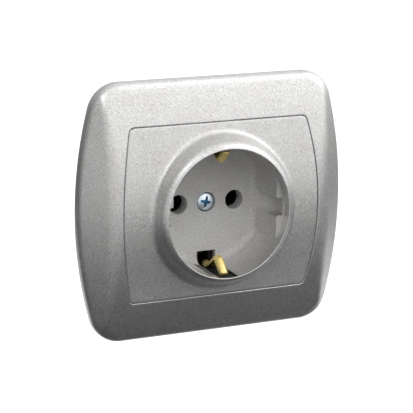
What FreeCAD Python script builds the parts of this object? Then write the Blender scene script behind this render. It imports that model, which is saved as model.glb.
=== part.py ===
import FreeCAD, Part
import math
import os
import Sketcher

# Type F wall socket for a flush wall box, in millimetres.
# X runs to the right, Z up and Y into the wall.
# The origin is the middle of the outer frame, on the wall's surface.

SIZES = [
    # Outer frame: bowed sides, straight top and bottom, crowned front
    ("frame_width", 88.3, "across the bowed sides at mid height"),
    ("frame_height", 80.0, "between the straight edges"),
    ("frame_side_bow", 128.0, "radius of the bowed sides"),
    ("frame_corner", 9.75, "corner radius"),
    ("frame_edge", 3.0, "upright edge above the wall"),
    ("front_height", 10.6, "crown above the wall at mid height"),
    ("flank_run", 9.05, "width of the sloping flank"),
    ("flank_overshoot", 0.5, "flank and crown carried on past the edge before they are trimmed"),
    ("crown_edge", 3.4, "crown above the wall at the straight edges"),
    ("corner_lift", 0.1, "edge's extra height round the corners"),
    ("corner_run", 9.4, "width of the sloping corners"),
    ("crest_round", 7.5, "rounding where the crown turns into the flank"),
    ("frame_wall", 2.0, "wall of the frame's shell"),
    ("frame_brow", 1.4, "frame's edge down to the hollow's edge"),
    # Cover panel that sits in the frame's opening
    ("panel_width", 64.9, "middle of the groove to middle of the groove"),
    ("panel_height", 54.0, "middle of the groove to middle of the groove"),
    ("panel_side_bow", 116.0, "radius of the panel's bowed sides"),
    ("panel_corner", 1.75, "corner radius at the groove"),
    ("panel_gap", 0.2, "groove between the panel and the frame"),
    ("panel_thickness", 2.0, "wall of the panel"),
    ("panel_edge_break", 0.4, "broken front edge of the panel"),
    ("ledge_width", 2.2, "ledge in the frame under the panel's edge"),
    ("ledge_thickness", 1.4, "height of that ledge"),
    ("seat_gap", 0.1, "clearance where two pieces seat on each other"),
    # Collar and bowl of the cover
    ("rim_height", 15.43, "collar's rim above the wall"),
    ("rim_radius", 19.9, "bowl's mouth"),
    ("rim_flat", 0.4, "flat of the rim before its rounding"),
    ("rim_round", 1.8, "outer rounding of the rim"),
    ("collar_slope", 0.33, "collar's outward run for each millimetre down"),
    ("collar_root", 6.9, "collar's root above the wall"),
    ("collar_foot_break", 0.45, "sloping foot between the collar and the panel"),
    ("bowl_depth", 17.5, "rim to floor"),
    ("bowl_floor_radius", 19.55, "bowl at its floor"),
    ("bowl_outer_radius", 21.9, "outside of the bowl behind the panel"),
    ("floor_thickness", 2.0, "floor of the bowl"),
    ("flat_ledge", 3.4, "rim down to the ledges of the two flats"),
    ("flat_ledge_reach", 17.2, "middle out to a flat at its ledge"),
    ("flat_floor_reach", 16.35, "middle out to a flat at the floor"),
    ("key_width", 5.6, "channel that divides each flat"),
    ("key_run_out", 1.2, "height above the floor where the channel ends"),
    ("key_straight", 4.5, "straight part of the channel's back below the ledge"),
    # Holes of the bowl's floor
    ("pin_pitch", 19.0, "between the two pin holes"),
    ("pin_hole", 6.0, "pin hole"),
    ("boss_width", 9.4, "screw boss behind the floor"),
    ("boss_length", 2.5, "length of that boss"),
    ("earth_slot_width", 6.3, "opening round each earth clip"),
    ("earth_slot_reach", 15.5, "middle out to the opening's inner edge"),
    ("earth_slot_depth", 20.4, "middle out to the opening's floor in the bowl's wall"),
    ("earth_slot_margin", 0.6, "rim left in front of the opening"),
    # Cover screw and its nut
    ("screw_head", 5.5, "head"),
    ("screw_seat", 6.2, "recess round the head"),
    ("screw_sink", 0.15, "head below the floor"),
    ("screw_head_height", 2.1, "height of the head"),
    ("screw_dome", 0.5, "dome of the head"),
    ("screw_shank", 3.5, "shank"),
    ("screw_length", 9.0, "shank below the head"),
    ("screw_bore_gap", 0.3, "clearance of the shank in a plain hole"),
    ("thread_gap", 0.05, "clearance of a shank in its thread"),
    ("drive_width", 1.0, "arm of the cross recess"),
    ("drive_span", 3.2, "length of the cross recess"),
    ("drive_depth", 1.2, "depth of a screw's recess"),
    ("nut_width", 7.0, "centre nut"),
    ("nut_length", 5.0, "length of that nut"),
    # Earth strap, bent from one strip
    ("clip_width", 3.2, "strip"),
    ("clip_thickness", 1.3, "strip"),
    ("clip_edge", 0.35, "broken edge of the strip"),
    ("clip_tip_height", 11.3, "clip's tip above the wall"),
    ("clip_tip_reach", 19.4, "middle out to the clip's tip"),
    ("clip_bend_height", 7.0, "clip's bend above the wall"),
    ("clip_bend_reach", 15.1, "middle out to the clip's bend"),
    ("clip_root_depth", 2.4, "foot of the sprung leg below the wall"),
    ("clip_root_reach", 19.3, "middle out to that foot"),
    ("strap_gap", 1.15, "screw boss to the strap behind it"),
    ("strap_eye", 10.0, "eye round the screw"),
    ("tab_span", 3.5, "height of the strap's tab"),
    ("tab_reach", 11.25, "middle down to the middle of the tab"),
    ("tab_offset", 3.0, "middle sideways to the tab's arm"),
    ("tab_thickness", 0.8, "arm of the tab"),
    # Insulating base
    ("base_gap", 0.3, "bowl's back to the base"),
    ("base_width", 45.0, "base"),
    ("base_height", 30.0, "base"),
    ("base_back", 24.5, "base's back below the wall"),
    ("base_corner", 5.0, "rounding of the base's corners"),
    ("base_wall", 1.2, "base's wall beside a live terminal"),
    ("lug_width", 13.0, "lugs at the top and bottom of the base"),
    ("lug_reach", 22.4, "middle out to a lug's end"),
    ("lug_back", 15.0, "lug's back below the wall"),
    ("pocket_gap", 0.3, "clearance of a piece in its pocket"),
    # Live contacts: split sleeves with a tail
    ("sleeve_bore", 4.9, "sleeve for a plug's pin"),
    ("sleeve_wall", 0.8, "wall of the sleeve"),
    ("sleeve_front", 6.8, "sleeve's mouth below the wall"),
    ("sleeve_length", 12.5, "sleeve"),
    ("sleeve_slit", 1.2, "slit along the sleeve"),
    ("tail_front", 16.5, "tail's front below the wall"),
    ("tail_width", 2.5, "tail"),
    ("tail_short", 1.0, "tail's end short of the terminal's middle"),
    # Terminals
    ("terminal_width", 7.0, "terminal block"),
    ("terminal_height", 8.0, "terminal block"),
    ("terminal_front", 14.5, "terminal block's front below the wall"),
    ("terminal_length", 7.5, "terminal block"),
    ("wire_hole", 3.2, "hole for a wire"),
    ("terminal_shank", 3.0, "terminal screw"),
    ("terminal_lift", 3.2, "head clear of its block"),
    ("terminal_head", 5.4, "terminal screw's head"),
    ("terminal_head_height", 1.9, "terminal screw's head"),
    ("terminal_slot", 0.9, "slot in the head"),
    ("earth_terminal_reach", 11.3, "middle down to the earth terminal"),
    ("earth_terminal_offset", 0.5, "middle sideways to the earth terminal"),
    # Support frame: a steel plate with two legs
    ("plate_margin", 3.0, "plate's edge in from the frame's wall"),
    ("plate_corner", 14.0, "corner radius of the plate"),
    ("plate_thickness", 1.2, "sheet"),
    ("plate_hole", 22.6, "radius of the hole for the bowl"),
    ("box_screw_pitch", 60.0, "between the slots for the box screws"),
    ("box_slot_width", 4.2, "slot for a box screw"),
    ("box_slot_length", 7.0, "slot for a box screw, end to end"),
    ("leg_width", 12.0, "legs at the top and bottom"),
    ("leg_gap", 0.1, "leg to the lug inside it"),
    ("rivet_depth", 12.2, "rivet below the wall"),
    ("rivet_shank", 3.0, "rivet"),
    ("rivet_head", 5.6, "rivet's head"),
    ("rivet_head_height", 0.8, "rivet's head"),
    ("rivet_reach", 17.5, "middle out to the rivet's inner end"),
    # Spreading claws and their screws
    ("claw_gap", 0.9, "base's side to a claw"),
    ("claw_web", 0.4, "least sheet left between the plate's hole and a claw screw's seat"),
    ("claw_ball", 2.9, "radius of the screw head's round seat"),
    ("claw_seat_gap", 0.2, "clearance of that seat in the plate"),
    ("claw_ball_height", 2.9, "middle of the round seat above the wall"),
    ("claw_head_cut", 1.7, "flat top of the head above that middle"),
    ("claw_slot_run", 1.2, "plate's hole drawn out to let the screw swing"),
    ("claw_shank", 3.4, "claw screw"),
    ("claw_screw_tip", 0.6, "screw's tip past the claw"),
    ("claw_height", 10.0, "claw, along the wall"),
    ("claw_sheet", 1.2, "sheet"),
    ("claw_front", 2.5, "claw's front below the wall"),
    ("claw_back", 20.2, "claw's back below the wall"),
    ("claw_inner", 2.2, "screw's middle in to the claw's inner edge"),
    ("claw_outer", 3.6, "screw's middle out to the claw's outer face"),
    ("tooth_reach", 0.7, "teeth beyond that face"),
    ("tooth_height", 1.6, "tooth along the claw"),
    ("tooth_width", 2.4, "tooth across the claw"),
    ("tooth_pitch", 6.4, "between the two teeth"),
]

doc = FreeCAD.newDocument("wall_socket")
sheet = doc.addObject("Spreadsheet::Sheet", "Sizes")


class Size:
    """A length as the sheet's expression, which drives the model, with its value for a first solve."""

    def __init__(self, text, value):
        self.text = text
        self.value = value

    def __add__(self, other):
        other = size(other)
        return Size("(%s + %s)" % (self.text, other.text), self.value + other.value)

    def __sub__(self, other):
        other = size(other)
        return Size("(%s - %s)" % (self.text, other.text), self.value - other.value)

    def __mul__(self, other):
        other = size(other)
        return Size("(%s * %s)" % (self.text, other.text), self.value * other.value)

    def __truediv__(self, other):
        other = size(other)
        return Size("(%s / %s)" % (self.text, other.text), self.value / other.value)

    def __radd__(self, other):
        return size(other) + self

    def __rsub__(self, other):
        return size(other) - self

    def __rmul__(self, other):
        return size(other) * self

    def __rtruediv__(self, other):
        return size(other) / self

    def __neg__(self):
        return size(0) - self


def size(number):
    return number if isinstance(number, Size) else Size(repr(float(number)), float(number))


def root(number):
    return Size("sqrt(%s)" % number.text, math.sqrt(number.value))


def larger(first, second):
    return Size("max(%s; %s)" % (first.text, second.text), max(first.value, second.value))


def fill_sheet():
    """Writes the sheet and gives its cells back as named sizes."""
    cells = {}
    for row, (alias, value, note) in enumerate(SIZES, start=1):
        sheet.set("A%d" % row, alias)
        sheet.set("B%d" % row, str(value))
        sheet.setAlias("B%d" % row, alias)
        sheet.set("C%d" % row, note)
        cells[alias] = Size("Sizes." + alias, value)
    doc.recompute()
    return cells


class Cells:
    """The named sizes, read as attributes."""

    def __init__(self, cells):
        self.__dict__.update(cells)


S = Cells(fill_sheet())


def bind(item, prop, length):
    item.setExpression(prop, size(length).text)


# Sketches and features

def new_body(name):
    body = doc.addObject("PartDesign::Body", name)
    body.Label = name
    return body


def origin_feature(body, role):
    return [feature for feature in body.Origin.OriginFeatures if feature.Role == role][0]


def new_sketch(body, name, plane, lift=0.0):
    """An empty sketch on an origin plane of the body, lifted along that plane's normal."""
    sketch = body.newObject("Sketcher::SketchObject", name)
    sketch.AttachmentSupport = [(origin_feature(body, plane), "")]
    sketch.MapMode = "FlatFace"
    bind(sketch, "AttachmentOffset.Base.z", lift)
    return sketch


def hold(sketch, kind, where, length):
    """Adds one dimension to a sketch and ties it to the sheet."""
    length = size(length)
    index = sketch.addConstraint(Sketcher.Constraint(kind, *where, length.value))
    sketch.setExpression("Constraints[%d]" % index, length.text)


def hold_point(sketch, geometry, position, x, y):
    hold(sketch, "DistanceX", (-1, 1, geometry, position), x)
    hold(sketch, "DistanceY", (-1, 1, geometry, position), y)


def arc_between(start, end, radius, turn):
    """The short arc from start to end: it turns left for +1 and right for -1."""
    chord = end - start
    middle = (start + end) * 0.5
    rise = math.sqrt(max(radius * radius - chord.Length * chord.Length / 4, 0.0))
    left = FreeCAD.Vector(-chord.y, chord.x, 0).normalize()
    center = middle + left * (rise * turn)
    first, last = (start, end) if turn > 0 else (end, start)
    angles = [math.atan2(point.y - center.y, point.x - center.x) for point in (first, last)]
    return Part.ArcOfCircle(Part.Circle(center, FreeCAD.Vector(0, 0, 1), radius), *angles)


def draw_loop(sketch, steps, closed=True):
    """A line through points. A step is x and y, and a radius and turn for an arc that ends there."""
    points = [(size(step[0]), size(step[1])) for step in steps]
    spots = [FreeCAD.Vector(x.value, y.value, 0) for x, y in points]
    ends = []
    for number in range(0 if closed else 1, len(steps)):
        start, end = spots[number - 1], spots[number]
        if len(steps[number]) > 2:
            radius = size(steps[number][2])
            turn = steps[number][3] if len(steps[number]) > 3 else 1
            index = sketch.addGeometry(arc_between(start, end, radius.value, turn))
            hold(sketch, "Radius", (index,), radius)
            ends.append((index, 1, 2) if turn > 0 else (index, 2, 1))
        else:
            index = sketch.addGeometry(Part.LineSegment(start, end))
            ends.append((index, 1, 2))
        hold_point(sketch, index, ends[-1][2], *points[number])
    if not closed:
        hold_point(sketch, ends[0][0], ends[0][1], *points[0])
    for number in range(0 if closed else 1, len(ends)):
        before, after = ends[number - 1], ends[number]
        sketch.addConstraint(Sketcher.Constraint("Coincident", before[0], before[2], after[0], after[1]))


def draw_circle(sketch, x, y, radius):
    x, y, radius = size(x), size(y), size(radius)
    center = FreeCAD.Vector(x.value, y.value, 0)
    index = sketch.addGeometry(Part.Circle(center, FreeCAD.Vector(0, 0, 1), radius.value))
    hold_point(sketch, index, 3, x, y)
    hold(sketch, "Radius", (index,), radius)


def rectangle(x_low, x_high, y_low, y_high):
    return [(x_low, y_low), (x_high, y_low), (x_high, y_high), (x_low, y_high)]


def slot_loop(x, y, length, width, along):
    """A slot about a middle point, round at both ends, along x (1, 0) or along y (0, 1)."""
    radius = width / 2
    run = (length - width) / 2
    ahead_x, ahead_y = along
    steps = []
    for ahead, left, *arc in (
        (-run, -radius, radius),
        (run, -radius),
        (run + radius, size(0), radius),
        (run, radius, radius),
        (-run, radius),
        (-run - radius, size(0), radius),
    ):
        steps.append((x + ahead * ahead_x - left * ahead_y, y + ahead * ahead_y + left * ahead_x, *arc))
    return steps


def finish_feature(body, feature, sketch):
    feature.Profile = sketch
    sketch.Visibility = False
    body.Tip = feature
    return feature


def pad(body, sketch, length, symmetric=False, reverse=False):
    feature = finish_feature(body, body.newObject("PartDesign::Pad", sketch.Name + "_pad"), sketch)
    feature.SideType = "Symmetric" if symmetric else "One side"
    feature.Reversed = reverse
    bind(feature, "Length", length)
    return feature


def pocket(body, sketch, length=None, symmetric=False, reverse=False):
    feature = finish_feature(body, body.newObject("PartDesign::Pocket", sketch.Name + "_cut"), sketch)
    feature.SideType = "Symmetric" if symmetric else "One side"
    feature.Reversed = reverse
    if length is None:
        feature.Type = "ThroughAll"
    else:
        bind(feature, "Length", length)
    return feature


def turn_on(body, kind, sketch, axis):
    """A full turn of a sketch about an origin axis of the body."""
    feature = finish_feature(body, body.newObject("PartDesign::" + kind, sketch.Name + "_turn"), sketch)
    feature.ReferenceAxis = (origin_feature(body, axis), [""])
    feature.Angle = 360
    return feature


def loft(body, first, others):
    feature = finish_feature(body, body.newObject("PartDesign::AdditiveLoft", first.Name + "_loft"), first)
    feature.Sections = others
    feature.Ruled = True
    for other in others:
        other.Visibility = False
    return feature


def break_edges(body, name, width, wanted):
    """Chamfers the edges of the body's last feature that the test picks out."""
    doc.recompute()
    base = body.Tip
    picked = ["Edge%d" % number for number, edge in enumerate(base.Shape.Edges, start=1) if wanted(edge)]
    feature = body.newObject("PartDesign::Chamfer", name)
    feature.Base = (base, picked)
    bind(feature, "Size", width)
    body.Tip = feature
    return feature


def joined(kind, name, items):
    """Several solids fused or intersected into one."""
    item = doc.addObject(kind, name)
    item.Label = name
    item.Shapes = items
    return item


def cut(name, base, tool):
    item = doc.addObject("Part::Cut", name)
    item.Label = name
    item.Base = base
    item.Tool = tool
    return item


# Shapes that the frame and the cover share

SWELL_STEPS = 2
SIDES = (-1, 1)
EDGE_SPOTS = 5
FIT = 0.001


def bowed_outline(width, height, bow, corner):
    """Bowed sides, straight top and bottom, rounded corners, all tangent."""
    bow_center = width / 2 - bow
    corner_height = height / 2 - corner
    reach = bow - corner
    corner_center = bow_center + root(reach * reach - corner_height * corner_height)
    side_x = bow_center + bow * (corner_center - bow_center) / reach
    side_z = bow * corner_height / reach
    top = height / 2
    return [
        (side_x, -side_z, corner),
        (side_x, side_z, bow),
        (corner_center, top, corner),
        (-corner_center, top),
        (-side_x, side_z, corner),
        (-side_x, -side_z, bow),
        (-corner_center, -top, corner),
        (corner_center, -top),
    ]


def frame_outline(inset):
    return bowed_outline(S.frame_width - 2 * inset, S.frame_height - 2 * inset,
                         S.frame_side_bow - inset, S.frame_corner - inset)


def panel_outline(inset):
    return bowed_outline(S.panel_width - 2 * inset, S.panel_height - 2 * inset,
                         S.panel_side_bow - inset, S.panel_corner - inset)


crown_rise = S.front_height - S.crown_edge
half_height = S.frame_height / 2
crown_radius = (half_height * half_height + crown_rise * crown_rise) / (2 * crown_rise)
flank_rise = S.front_height - S.frame_edge
flank_length = root(S.flank_run * S.flank_run + flank_rise * flank_rise)


def crown_y(z, setback):
    """The crown's place at a height, set back into the wall."""
    radius = crown_radius - setback
    return crown_radius - S.front_height - root(radius * radius - z * z)


def trim_to_crown(body, name, setback, side):
    """Cuts away what lies in front of (-1) or behind (+1) the crown, set back into the wall."""
    edge_z = half_height + S.frame_edge
    edge_y = crown_y(edge_z, setback)
    far = side * S.frame_width
    sketch = new_sketch(body, name, "YZ_Plane")
    loop = [(edge_y, -edge_z), (edge_y, edge_z, crown_radius - setback, -1), (far, edge_z), (far, -edge_z)]
    draw_loop(sketch, loop)
    pocket(body, sketch, symmetric=True)


def crown_section(sketch, z, inset, drop, setback, rounded):
    """One level cut through the frame: wall, sloping flank, crest, rounded or sharp, and crown."""
    bow = S.frame_side_bow - inset
    half_width = S.frame_width / 2 - S.frame_side_bow + root(bow * bow - z * z)
    foot = drop - S.frame_edge
    top = crown_y(z, setback)
    steepness = flank_rise / S.flank_run
    out_x = half_width + S.flank_overshoot
    out_y = foot + S.flank_overshoot * steepness
    crest_x = half_width - (foot - top) / steepness
    radius = S.crest_round * (foot - top) / flank_rise
    tangent = radius * flank_rise / (S.flank_run + flank_length)
    low_x = crest_x + tangent * S.flank_run / flank_length
    low_y = top + tangent * flank_rise / flank_length
    high_x = crest_x - tangent
    right_crest = [(low_x, low_y), (high_x, top, radius, -1)] if rounded else [(crest_x, top)]
    left_crest = [(-high_x, top), (-low_x, low_y, radius, -1)] if rounded else [(-crest_x, top)]
    right_side = [(out_x, 0), (out_x, out_y)]
    left_side = [(-out_x, out_y), (-out_x, 0)]
    draw_loop(sketch, right_side + right_crest + left_crest + left_side)


def mound(name, inset, drop, setback, rounded):
    """The frame's outer form, drawn in by an inset, with a lower edge and a crown set back."""
    swell = new_body(name + "_swell")
    sections = []
    for number in range(-SWELL_STEPS, SWELL_STEPS + 1):
        z = (half_height - inset + S.flank_overshoot) * number / SWELL_STEPS
        section = new_sketch(swell, "%s_section_%d" % (name, number + SWELL_STEPS), "XY_Plane", z)
        crown_section(section, z, inset, drop, setback, rounded)
        sections.append(section)
    feature = loft(swell, sections[0], sections[1:])
    feature.Ruled = False
    block = new_body(name + "_block")
    edge = S.frame_edge + S.corner_lift - drop
    base = new_sketch(block, name + "_base", "XZ_Plane")
    draw_loop(base, frame_outline(inset))
    pad(block, base, edge)
    foot = new_sketch(block, name + "_foot", "XZ_Plane", edge)
    draw_loop(foot, frame_outline(inset))
    crest = new_sketch(block, name + "_crest", "XZ_Plane", edge + S.corner_run - inset)
    draw_loop(crest, frame_outline(S.corner_run))
    loft(block, foot, [crest])
    return joined("Part::MultiCommon", name, [swell, block])


def outer_frame():
    """A shell with a crowned front, an opening for the cover and a ledge under the cover's edge."""
    form = mound("frame_form", size(0), size(0), size(0), True)
    core = mound("frame_core", S.frame_wall, S.frame_brow, S.frame_wall, False)
    shell = cut("frame_shell", form, core)
    ledge_setback = S.panel_thickness + S.seat_gap
    ledge = new_body("frame_ledge")
    band = new_sketch(ledge, "ledge_band", "XZ_Plane")
    draw_loop(band, panel_outline(-S.ledge_width))
    pad(ledge, band, S.front_height + S.frame_edge)
    trim_to_crown(ledge, "ledge_front", S.frame_wall / 2, -1)
    trim_to_crown(ledge, "ledge_back", ledge_setback + S.ledge_thickness, 1)
    opening = new_body("frame_opening")
    mouth = new_sketch(opening, "opening_mouth", "XZ_Plane")
    draw_loop(mouth, panel_outline(-S.panel_gap / 2))
    pad(opening, mouth, S.front_height + S.frame_edge)
    trim_to_crown(opening, "opening_back", ledge_setback, 1)
    throat = new_sketch(opening, "opening_throat", "XZ_Plane")
    draw_loop(throat, bowed_outline(S.panel_width - 2 * S.ledge_width, S.panel_height - 2 * S.ledge_width,
                                    S.panel_side_bow - S.ledge_width, S.panel_corner))
    pad(opening, throat, S.front_height + S.frame_edge)
    whole = joined("Part::MultiFuse", "frame_whole", [shell, ledge])
    return cut("outer_frame", whole, opening)


# Depths below the wall that several pieces share
floor_y = S.bowl_depth - S.rim_height
floor_back = floor_y + S.floor_thickness
head_seat = S.screw_sink + S.screw_head_height
strap_front = floor_back + S.boss_length + S.strap_gap
strap_back = strap_front + S.clip_thickness
base_front = floor_back + S.base_gap

# Places that follow the base's, the plate's and the frame's sizes
terminal_offset = S.base_width / 2 - S.base_wall - S.pocket_gap - S.terminal_width / 2
plate_size = S.frame_height - 2 * (S.frame_wall + S.plate_margin)


def claw_seat():
    """Radius of the plate's hole that carries a claw screw's round seat."""
    drop = S.claw_ball_height - S.plate_thickness
    reach = S.claw_ball + S.claw_seat_gap
    return root(reach * reach - drop * drop)


claw_offset = larger(S.base_width / 2 + S.claw_gap + S.claw_inner, S.plate_hole + S.claw_web + claw_seat())


def on_crown(edge):
    """True for an edge that runs along the crown."""
    spots = edge.discretize(EDGE_SPOTS)
    return all(abs(spot.y - crown_y(size(spot.z), size(0)).value) < FIT for spot in spots)


def at_collar_foot(edge):
    """True for an edge where the collar meets the crown."""
    inside = S.panel_height.value / 2 - FIT
    return on_crown(edge) and all(math.hypot(spot.x, spot.z) < inside for spot in edge.discretize(EDGE_SPOTS))


def socket_cover():
    """Panel, collar and bowl in one moulding, with flats, pin holes, screw seat and earth openings."""
    cover = new_body("socket_cover")
    panel = new_sketch(cover, "cover_panel", "XZ_Plane")
    draw_loop(panel, panel_outline(S.panel_gap / 2))
    pad(cover, panel, S.front_height + S.frame_edge)
    trim_to_crown(cover, "cover_crown", size(0), -1)
    trim_to_crown(cover, "cover_under", S.panel_thickness, 1)
    break_edges(cover, "cover_edge", S.panel_edge_break, on_crown)
    lean = 1 / root(1 + S.collar_slope * S.collar_slope)
    rim_edge = S.rim_radius + S.rim_flat
    round_x = rim_edge + S.rim_round * lean
    round_y = S.rim_round - S.rim_height - S.rim_round * S.collar_slope * lean
    root_y = -S.collar_root
    collar = new_sketch(cover, "cover_collar", "XY_Plane")
    draw_loop(collar, [
        (0, -S.rim_height),
        (rim_edge, -S.rim_height),
        (round_x, round_y, S.rim_round),
        (round_x + S.collar_slope * (root_y - round_y), root_y),
        (S.bowl_outer_radius, root_y),
        (S.bowl_outer_radius, floor_back),
        (0, floor_back),
    ])
    turn_on(cover, "Revolution", collar, "Y_Axis")
    break_edges(cover, "collar_foot", S.collar_foot_break, at_collar_foot)
    bowl = new_sketch(cover, "cover_bowl", "XY_Plane")
    mouth_y = -S.rim_height - S.frame_edge
    draw_loop(bowl, [
        (0, mouth_y),
        (S.rim_radius, mouth_y),
        (S.rim_radius, -S.rim_height),
        (S.bowl_floor_radius, floor_y),
        (0, floor_y),
    ])
    turn_on(cover, "Groove", bowl, "Y_Axis")
    for side in SIDES:
        bowl_flat(cover, side)
    holes = new_sketch(cover, "pin_holes", "XZ_Plane")
    for side in SIDES:
        draw_circle(holes, side * S.pin_pitch / 2, 0, S.pin_hole / 2)
    pocket(cover, holes, symmetric=True)
    boss = new_sketch(cover, "screw_boss", "XZ_Plane", -floor_back)
    draw_circle(boss, 0, 0, S.boss_width / 2)
    pad(cover, boss, S.boss_length, reverse=True)
    seat = new_sketch(cover, "screw_seat", "XZ_Plane", -floor_y)
    draw_circle(seat, 0, 0, S.screw_seat / 2)
    pocket(cover, seat, head_seat + S.seat_gap)
    bore = new_sketch(cover, "screw_bore", "XZ_Plane")
    draw_circle(bore, 0, 0, S.screw_shank / 2 + S.screw_bore_gap)
    pocket(cover, bore, symmetric=True)
    slots = new_sketch(cover, "earth_slots", "XZ_Plane", S.rim_height - S.earth_slot_margin)
    half = S.earth_slot_width / 2
    draw_loop(slots, rectangle(-half, half, S.earth_slot_reach, S.earth_slot_depth))
    draw_loop(slots, rectangle(-half, half, -S.earth_slot_depth, -S.earth_slot_reach))
    pocket(cover, slots)
    return cover


def bowl_flat(cover, side):
    """A flat across one side of the bowl below a ledge, with a channel that sweeps out at the floor."""
    name = "left" if side < 0 else "right"
    radius = (S.rim_radius + S.bowl_outer_radius) / 2
    ledge_y = S.flat_ledge - S.rim_height
    sketches = []
    for place, y, reach in (("ledge", ledge_y, S.flat_ledge_reach), ("floor", floor_y, S.flat_floor_reach)):
        chord = root(radius * radius - reach * reach)
        sketch = new_sketch(cover, "flat_%s_%s" % (place, name), "XZ_Plane", -y)
        draw_loop(sketch, [(side * reach, -side * chord), (side * reach, side * chord, radius)])
        sketches.append(sketch)
    loft(cover, sketches[0], sketches[1:])
    half_key = S.key_width / 2
    wall = root(S.bowl_floor_radius * S.bowl_floor_radius - half_key * half_key)
    end_y = floor_y - S.key_run_out
    sweep_y = ledge_y + S.key_straight
    across = wall - S.flat_floor_reach
    along = end_y - sweep_y
    sweep = (across * across + along * along) / (2 * across)
    inner = S.flat_floor_reach - S.frame_wall
    key = new_sketch(cover, "flat_channel_" + name, "XY_Plane")
    draw_loop(key, [
        (side * inner, ledge_y - S.seat_gap),
        (side * wall, ledge_y - S.seat_gap),
        (side * wall, sweep_y),
        (side * S.flat_floor_reach, end_y, sweep, side),
        (side * inner, end_y),
    ])
    pocket(cover, key, S.key_width, symmetric=True)


def cross_loop(arm, span):
    """The outline of a cross recess."""
    near = arm / 2
    far = span / 2
    return [
        (near, -far), (near, -near), (far, -near), (far, near), (near, near), (near, far),
        (-near, far), (-near, near), (-far, near), (-far, -near), (-near, -near), (-near, -far),
    ]


def cover_screw():
    """Screw with a slightly domed head and a cross recess."""
    screw = new_body("cover_screw")
    top = floor_y + S.screw_sink
    under = top + S.screw_head_height
    head = S.screw_head / 2
    dome = S.screw_dome
    profile = new_sketch(screw, "screw_profile", "XY_Plane")
    draw_loop(profile, [
        (0, top),
        (head, top + dome, (head * head + dome * dome) / (2 * dome)),
        (head, under),
        (S.screw_shank / 2, under),
        (S.screw_shank / 2, under + S.screw_length),
        (0, under + S.screw_length),
    ])
    turn_on(screw, "Revolution", profile, "Y_Axis")
    drive = new_sketch(screw, "screw_drive", "XZ_Plane", -top)
    draw_loop(drive, cross_loop(S.drive_width, S.drive_span))
    pocket(screw, drive, S.drive_depth)
    return screw


def center_nut():
    """Hexagonal nut behind the earth strap."""
    nut = new_body("center_nut")
    corner = S.nut_width / root(size(3))
    half = S.nut_width / 2
    profile = new_sketch(nut, "nut_profile", "XZ_Plane", -(strap_back + S.seat_gap))
    draw_loop(profile, [
        (corner, 0), (corner / 2, half), (-corner / 2, half),
        (-corner, 0), (-corner / 2, -half), (corner / 2, -half),
    ])
    draw_circle(profile, 0, 0, S.screw_shank / 2 + S.thread_gap)
    pad(nut, profile, S.nut_length, reverse=True)
    return nut


def rounded_rectangle(x, y, width, height, radius):
    """A rectangle about a middle point with four rounded corners."""
    left, right = x - width / 2, x + width / 2
    low, high = y - height / 2, y + height / 2
    return [
        (left, low + radius), (left + radius, low, radius),
        (right - radius, low), (right, low + radius, radius),
        (right, high - radius), (right - radius, high, radius),
        (left + radius, high), (left, high - radius, radius),
    ]


def broken_rectangle(x, y, width, height, edge):
    """A rectangle about a middle point with its four corners cut off."""
    return [step[:2] for step in rounded_rectangle(x, y, width, height, edge)]


def earth_bow():
    """One bent brass strip: a sprung clip at each end, an eye for the screw and a tab for the terminal."""
    bow = new_body("earth_bow")
    middle = (strap_front + strap_back) / 2
    strip = new_sketch(bow, "bow_strip", "XY_Plane")
    draw_loop(strip, broken_rectangle(size(0), middle, S.clip_width, S.clip_thickness, S.clip_edge))
    path = new_sketch(bow, "bow_path", "YZ_Plane")
    draw_loop(path, [
        (middle, 0),
        (middle, S.clip_root_reach),
        (S.clip_root_depth, S.clip_root_reach),
        (-S.clip_bend_height, S.clip_bend_reach),
        (-S.clip_tip_height, S.clip_tip_reach),
    ], closed=False)
    pipe = finish_feature(bow, bow.newObject("PartDesign::AdditivePipe", "bow_upper"), strip)
    pipe.Spine = path
    pipe.Transition = "Round corner"
    mirror = bow.newObject("PartDesign::Mirrored", "bow_lower")
    mirror.Originals = [pipe]
    mirror.MirrorPlane = (origin_feature(bow, "XY_Plane"), [""])
    bow.Tip = mirror
    eye = new_sketch(bow, "bow_eye", "XZ_Plane", -strap_front)
    draw_circle(eye, 0, 0, S.strap_eye / 2)
    pad(bow, eye, S.clip_thickness, reverse=True)
    low, high = -S.tab_reach - S.tab_span / 2, S.tab_span / 2 - S.tab_reach
    outer = S.tab_offset + S.tab_thickness / 2
    foot = new_sketch(bow, "tab_foot", "XZ_Plane", -strap_front)
    draw_loop(foot, rectangle(0, outer, low, high))
    pad(bow, foot, S.clip_thickness, reverse=True)
    arm = new_sketch(bow, "tab_arm", "XZ_Plane", -strap_front)
    draw_loop(arm, rectangle(outer - S.tab_thickness, outer, low, high))
    pad(bow, arm, S.terminal_front + S.terminal_length - strap_front, reverse=True)
    bore = new_sketch(bow, "bow_bore", "XZ_Plane")
    draw_circle(bore, 0, 0, S.screw_shank / 2 + S.screw_bore_gap)
    pocket(bow, bore, symmetric=True)
    return bow


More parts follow.
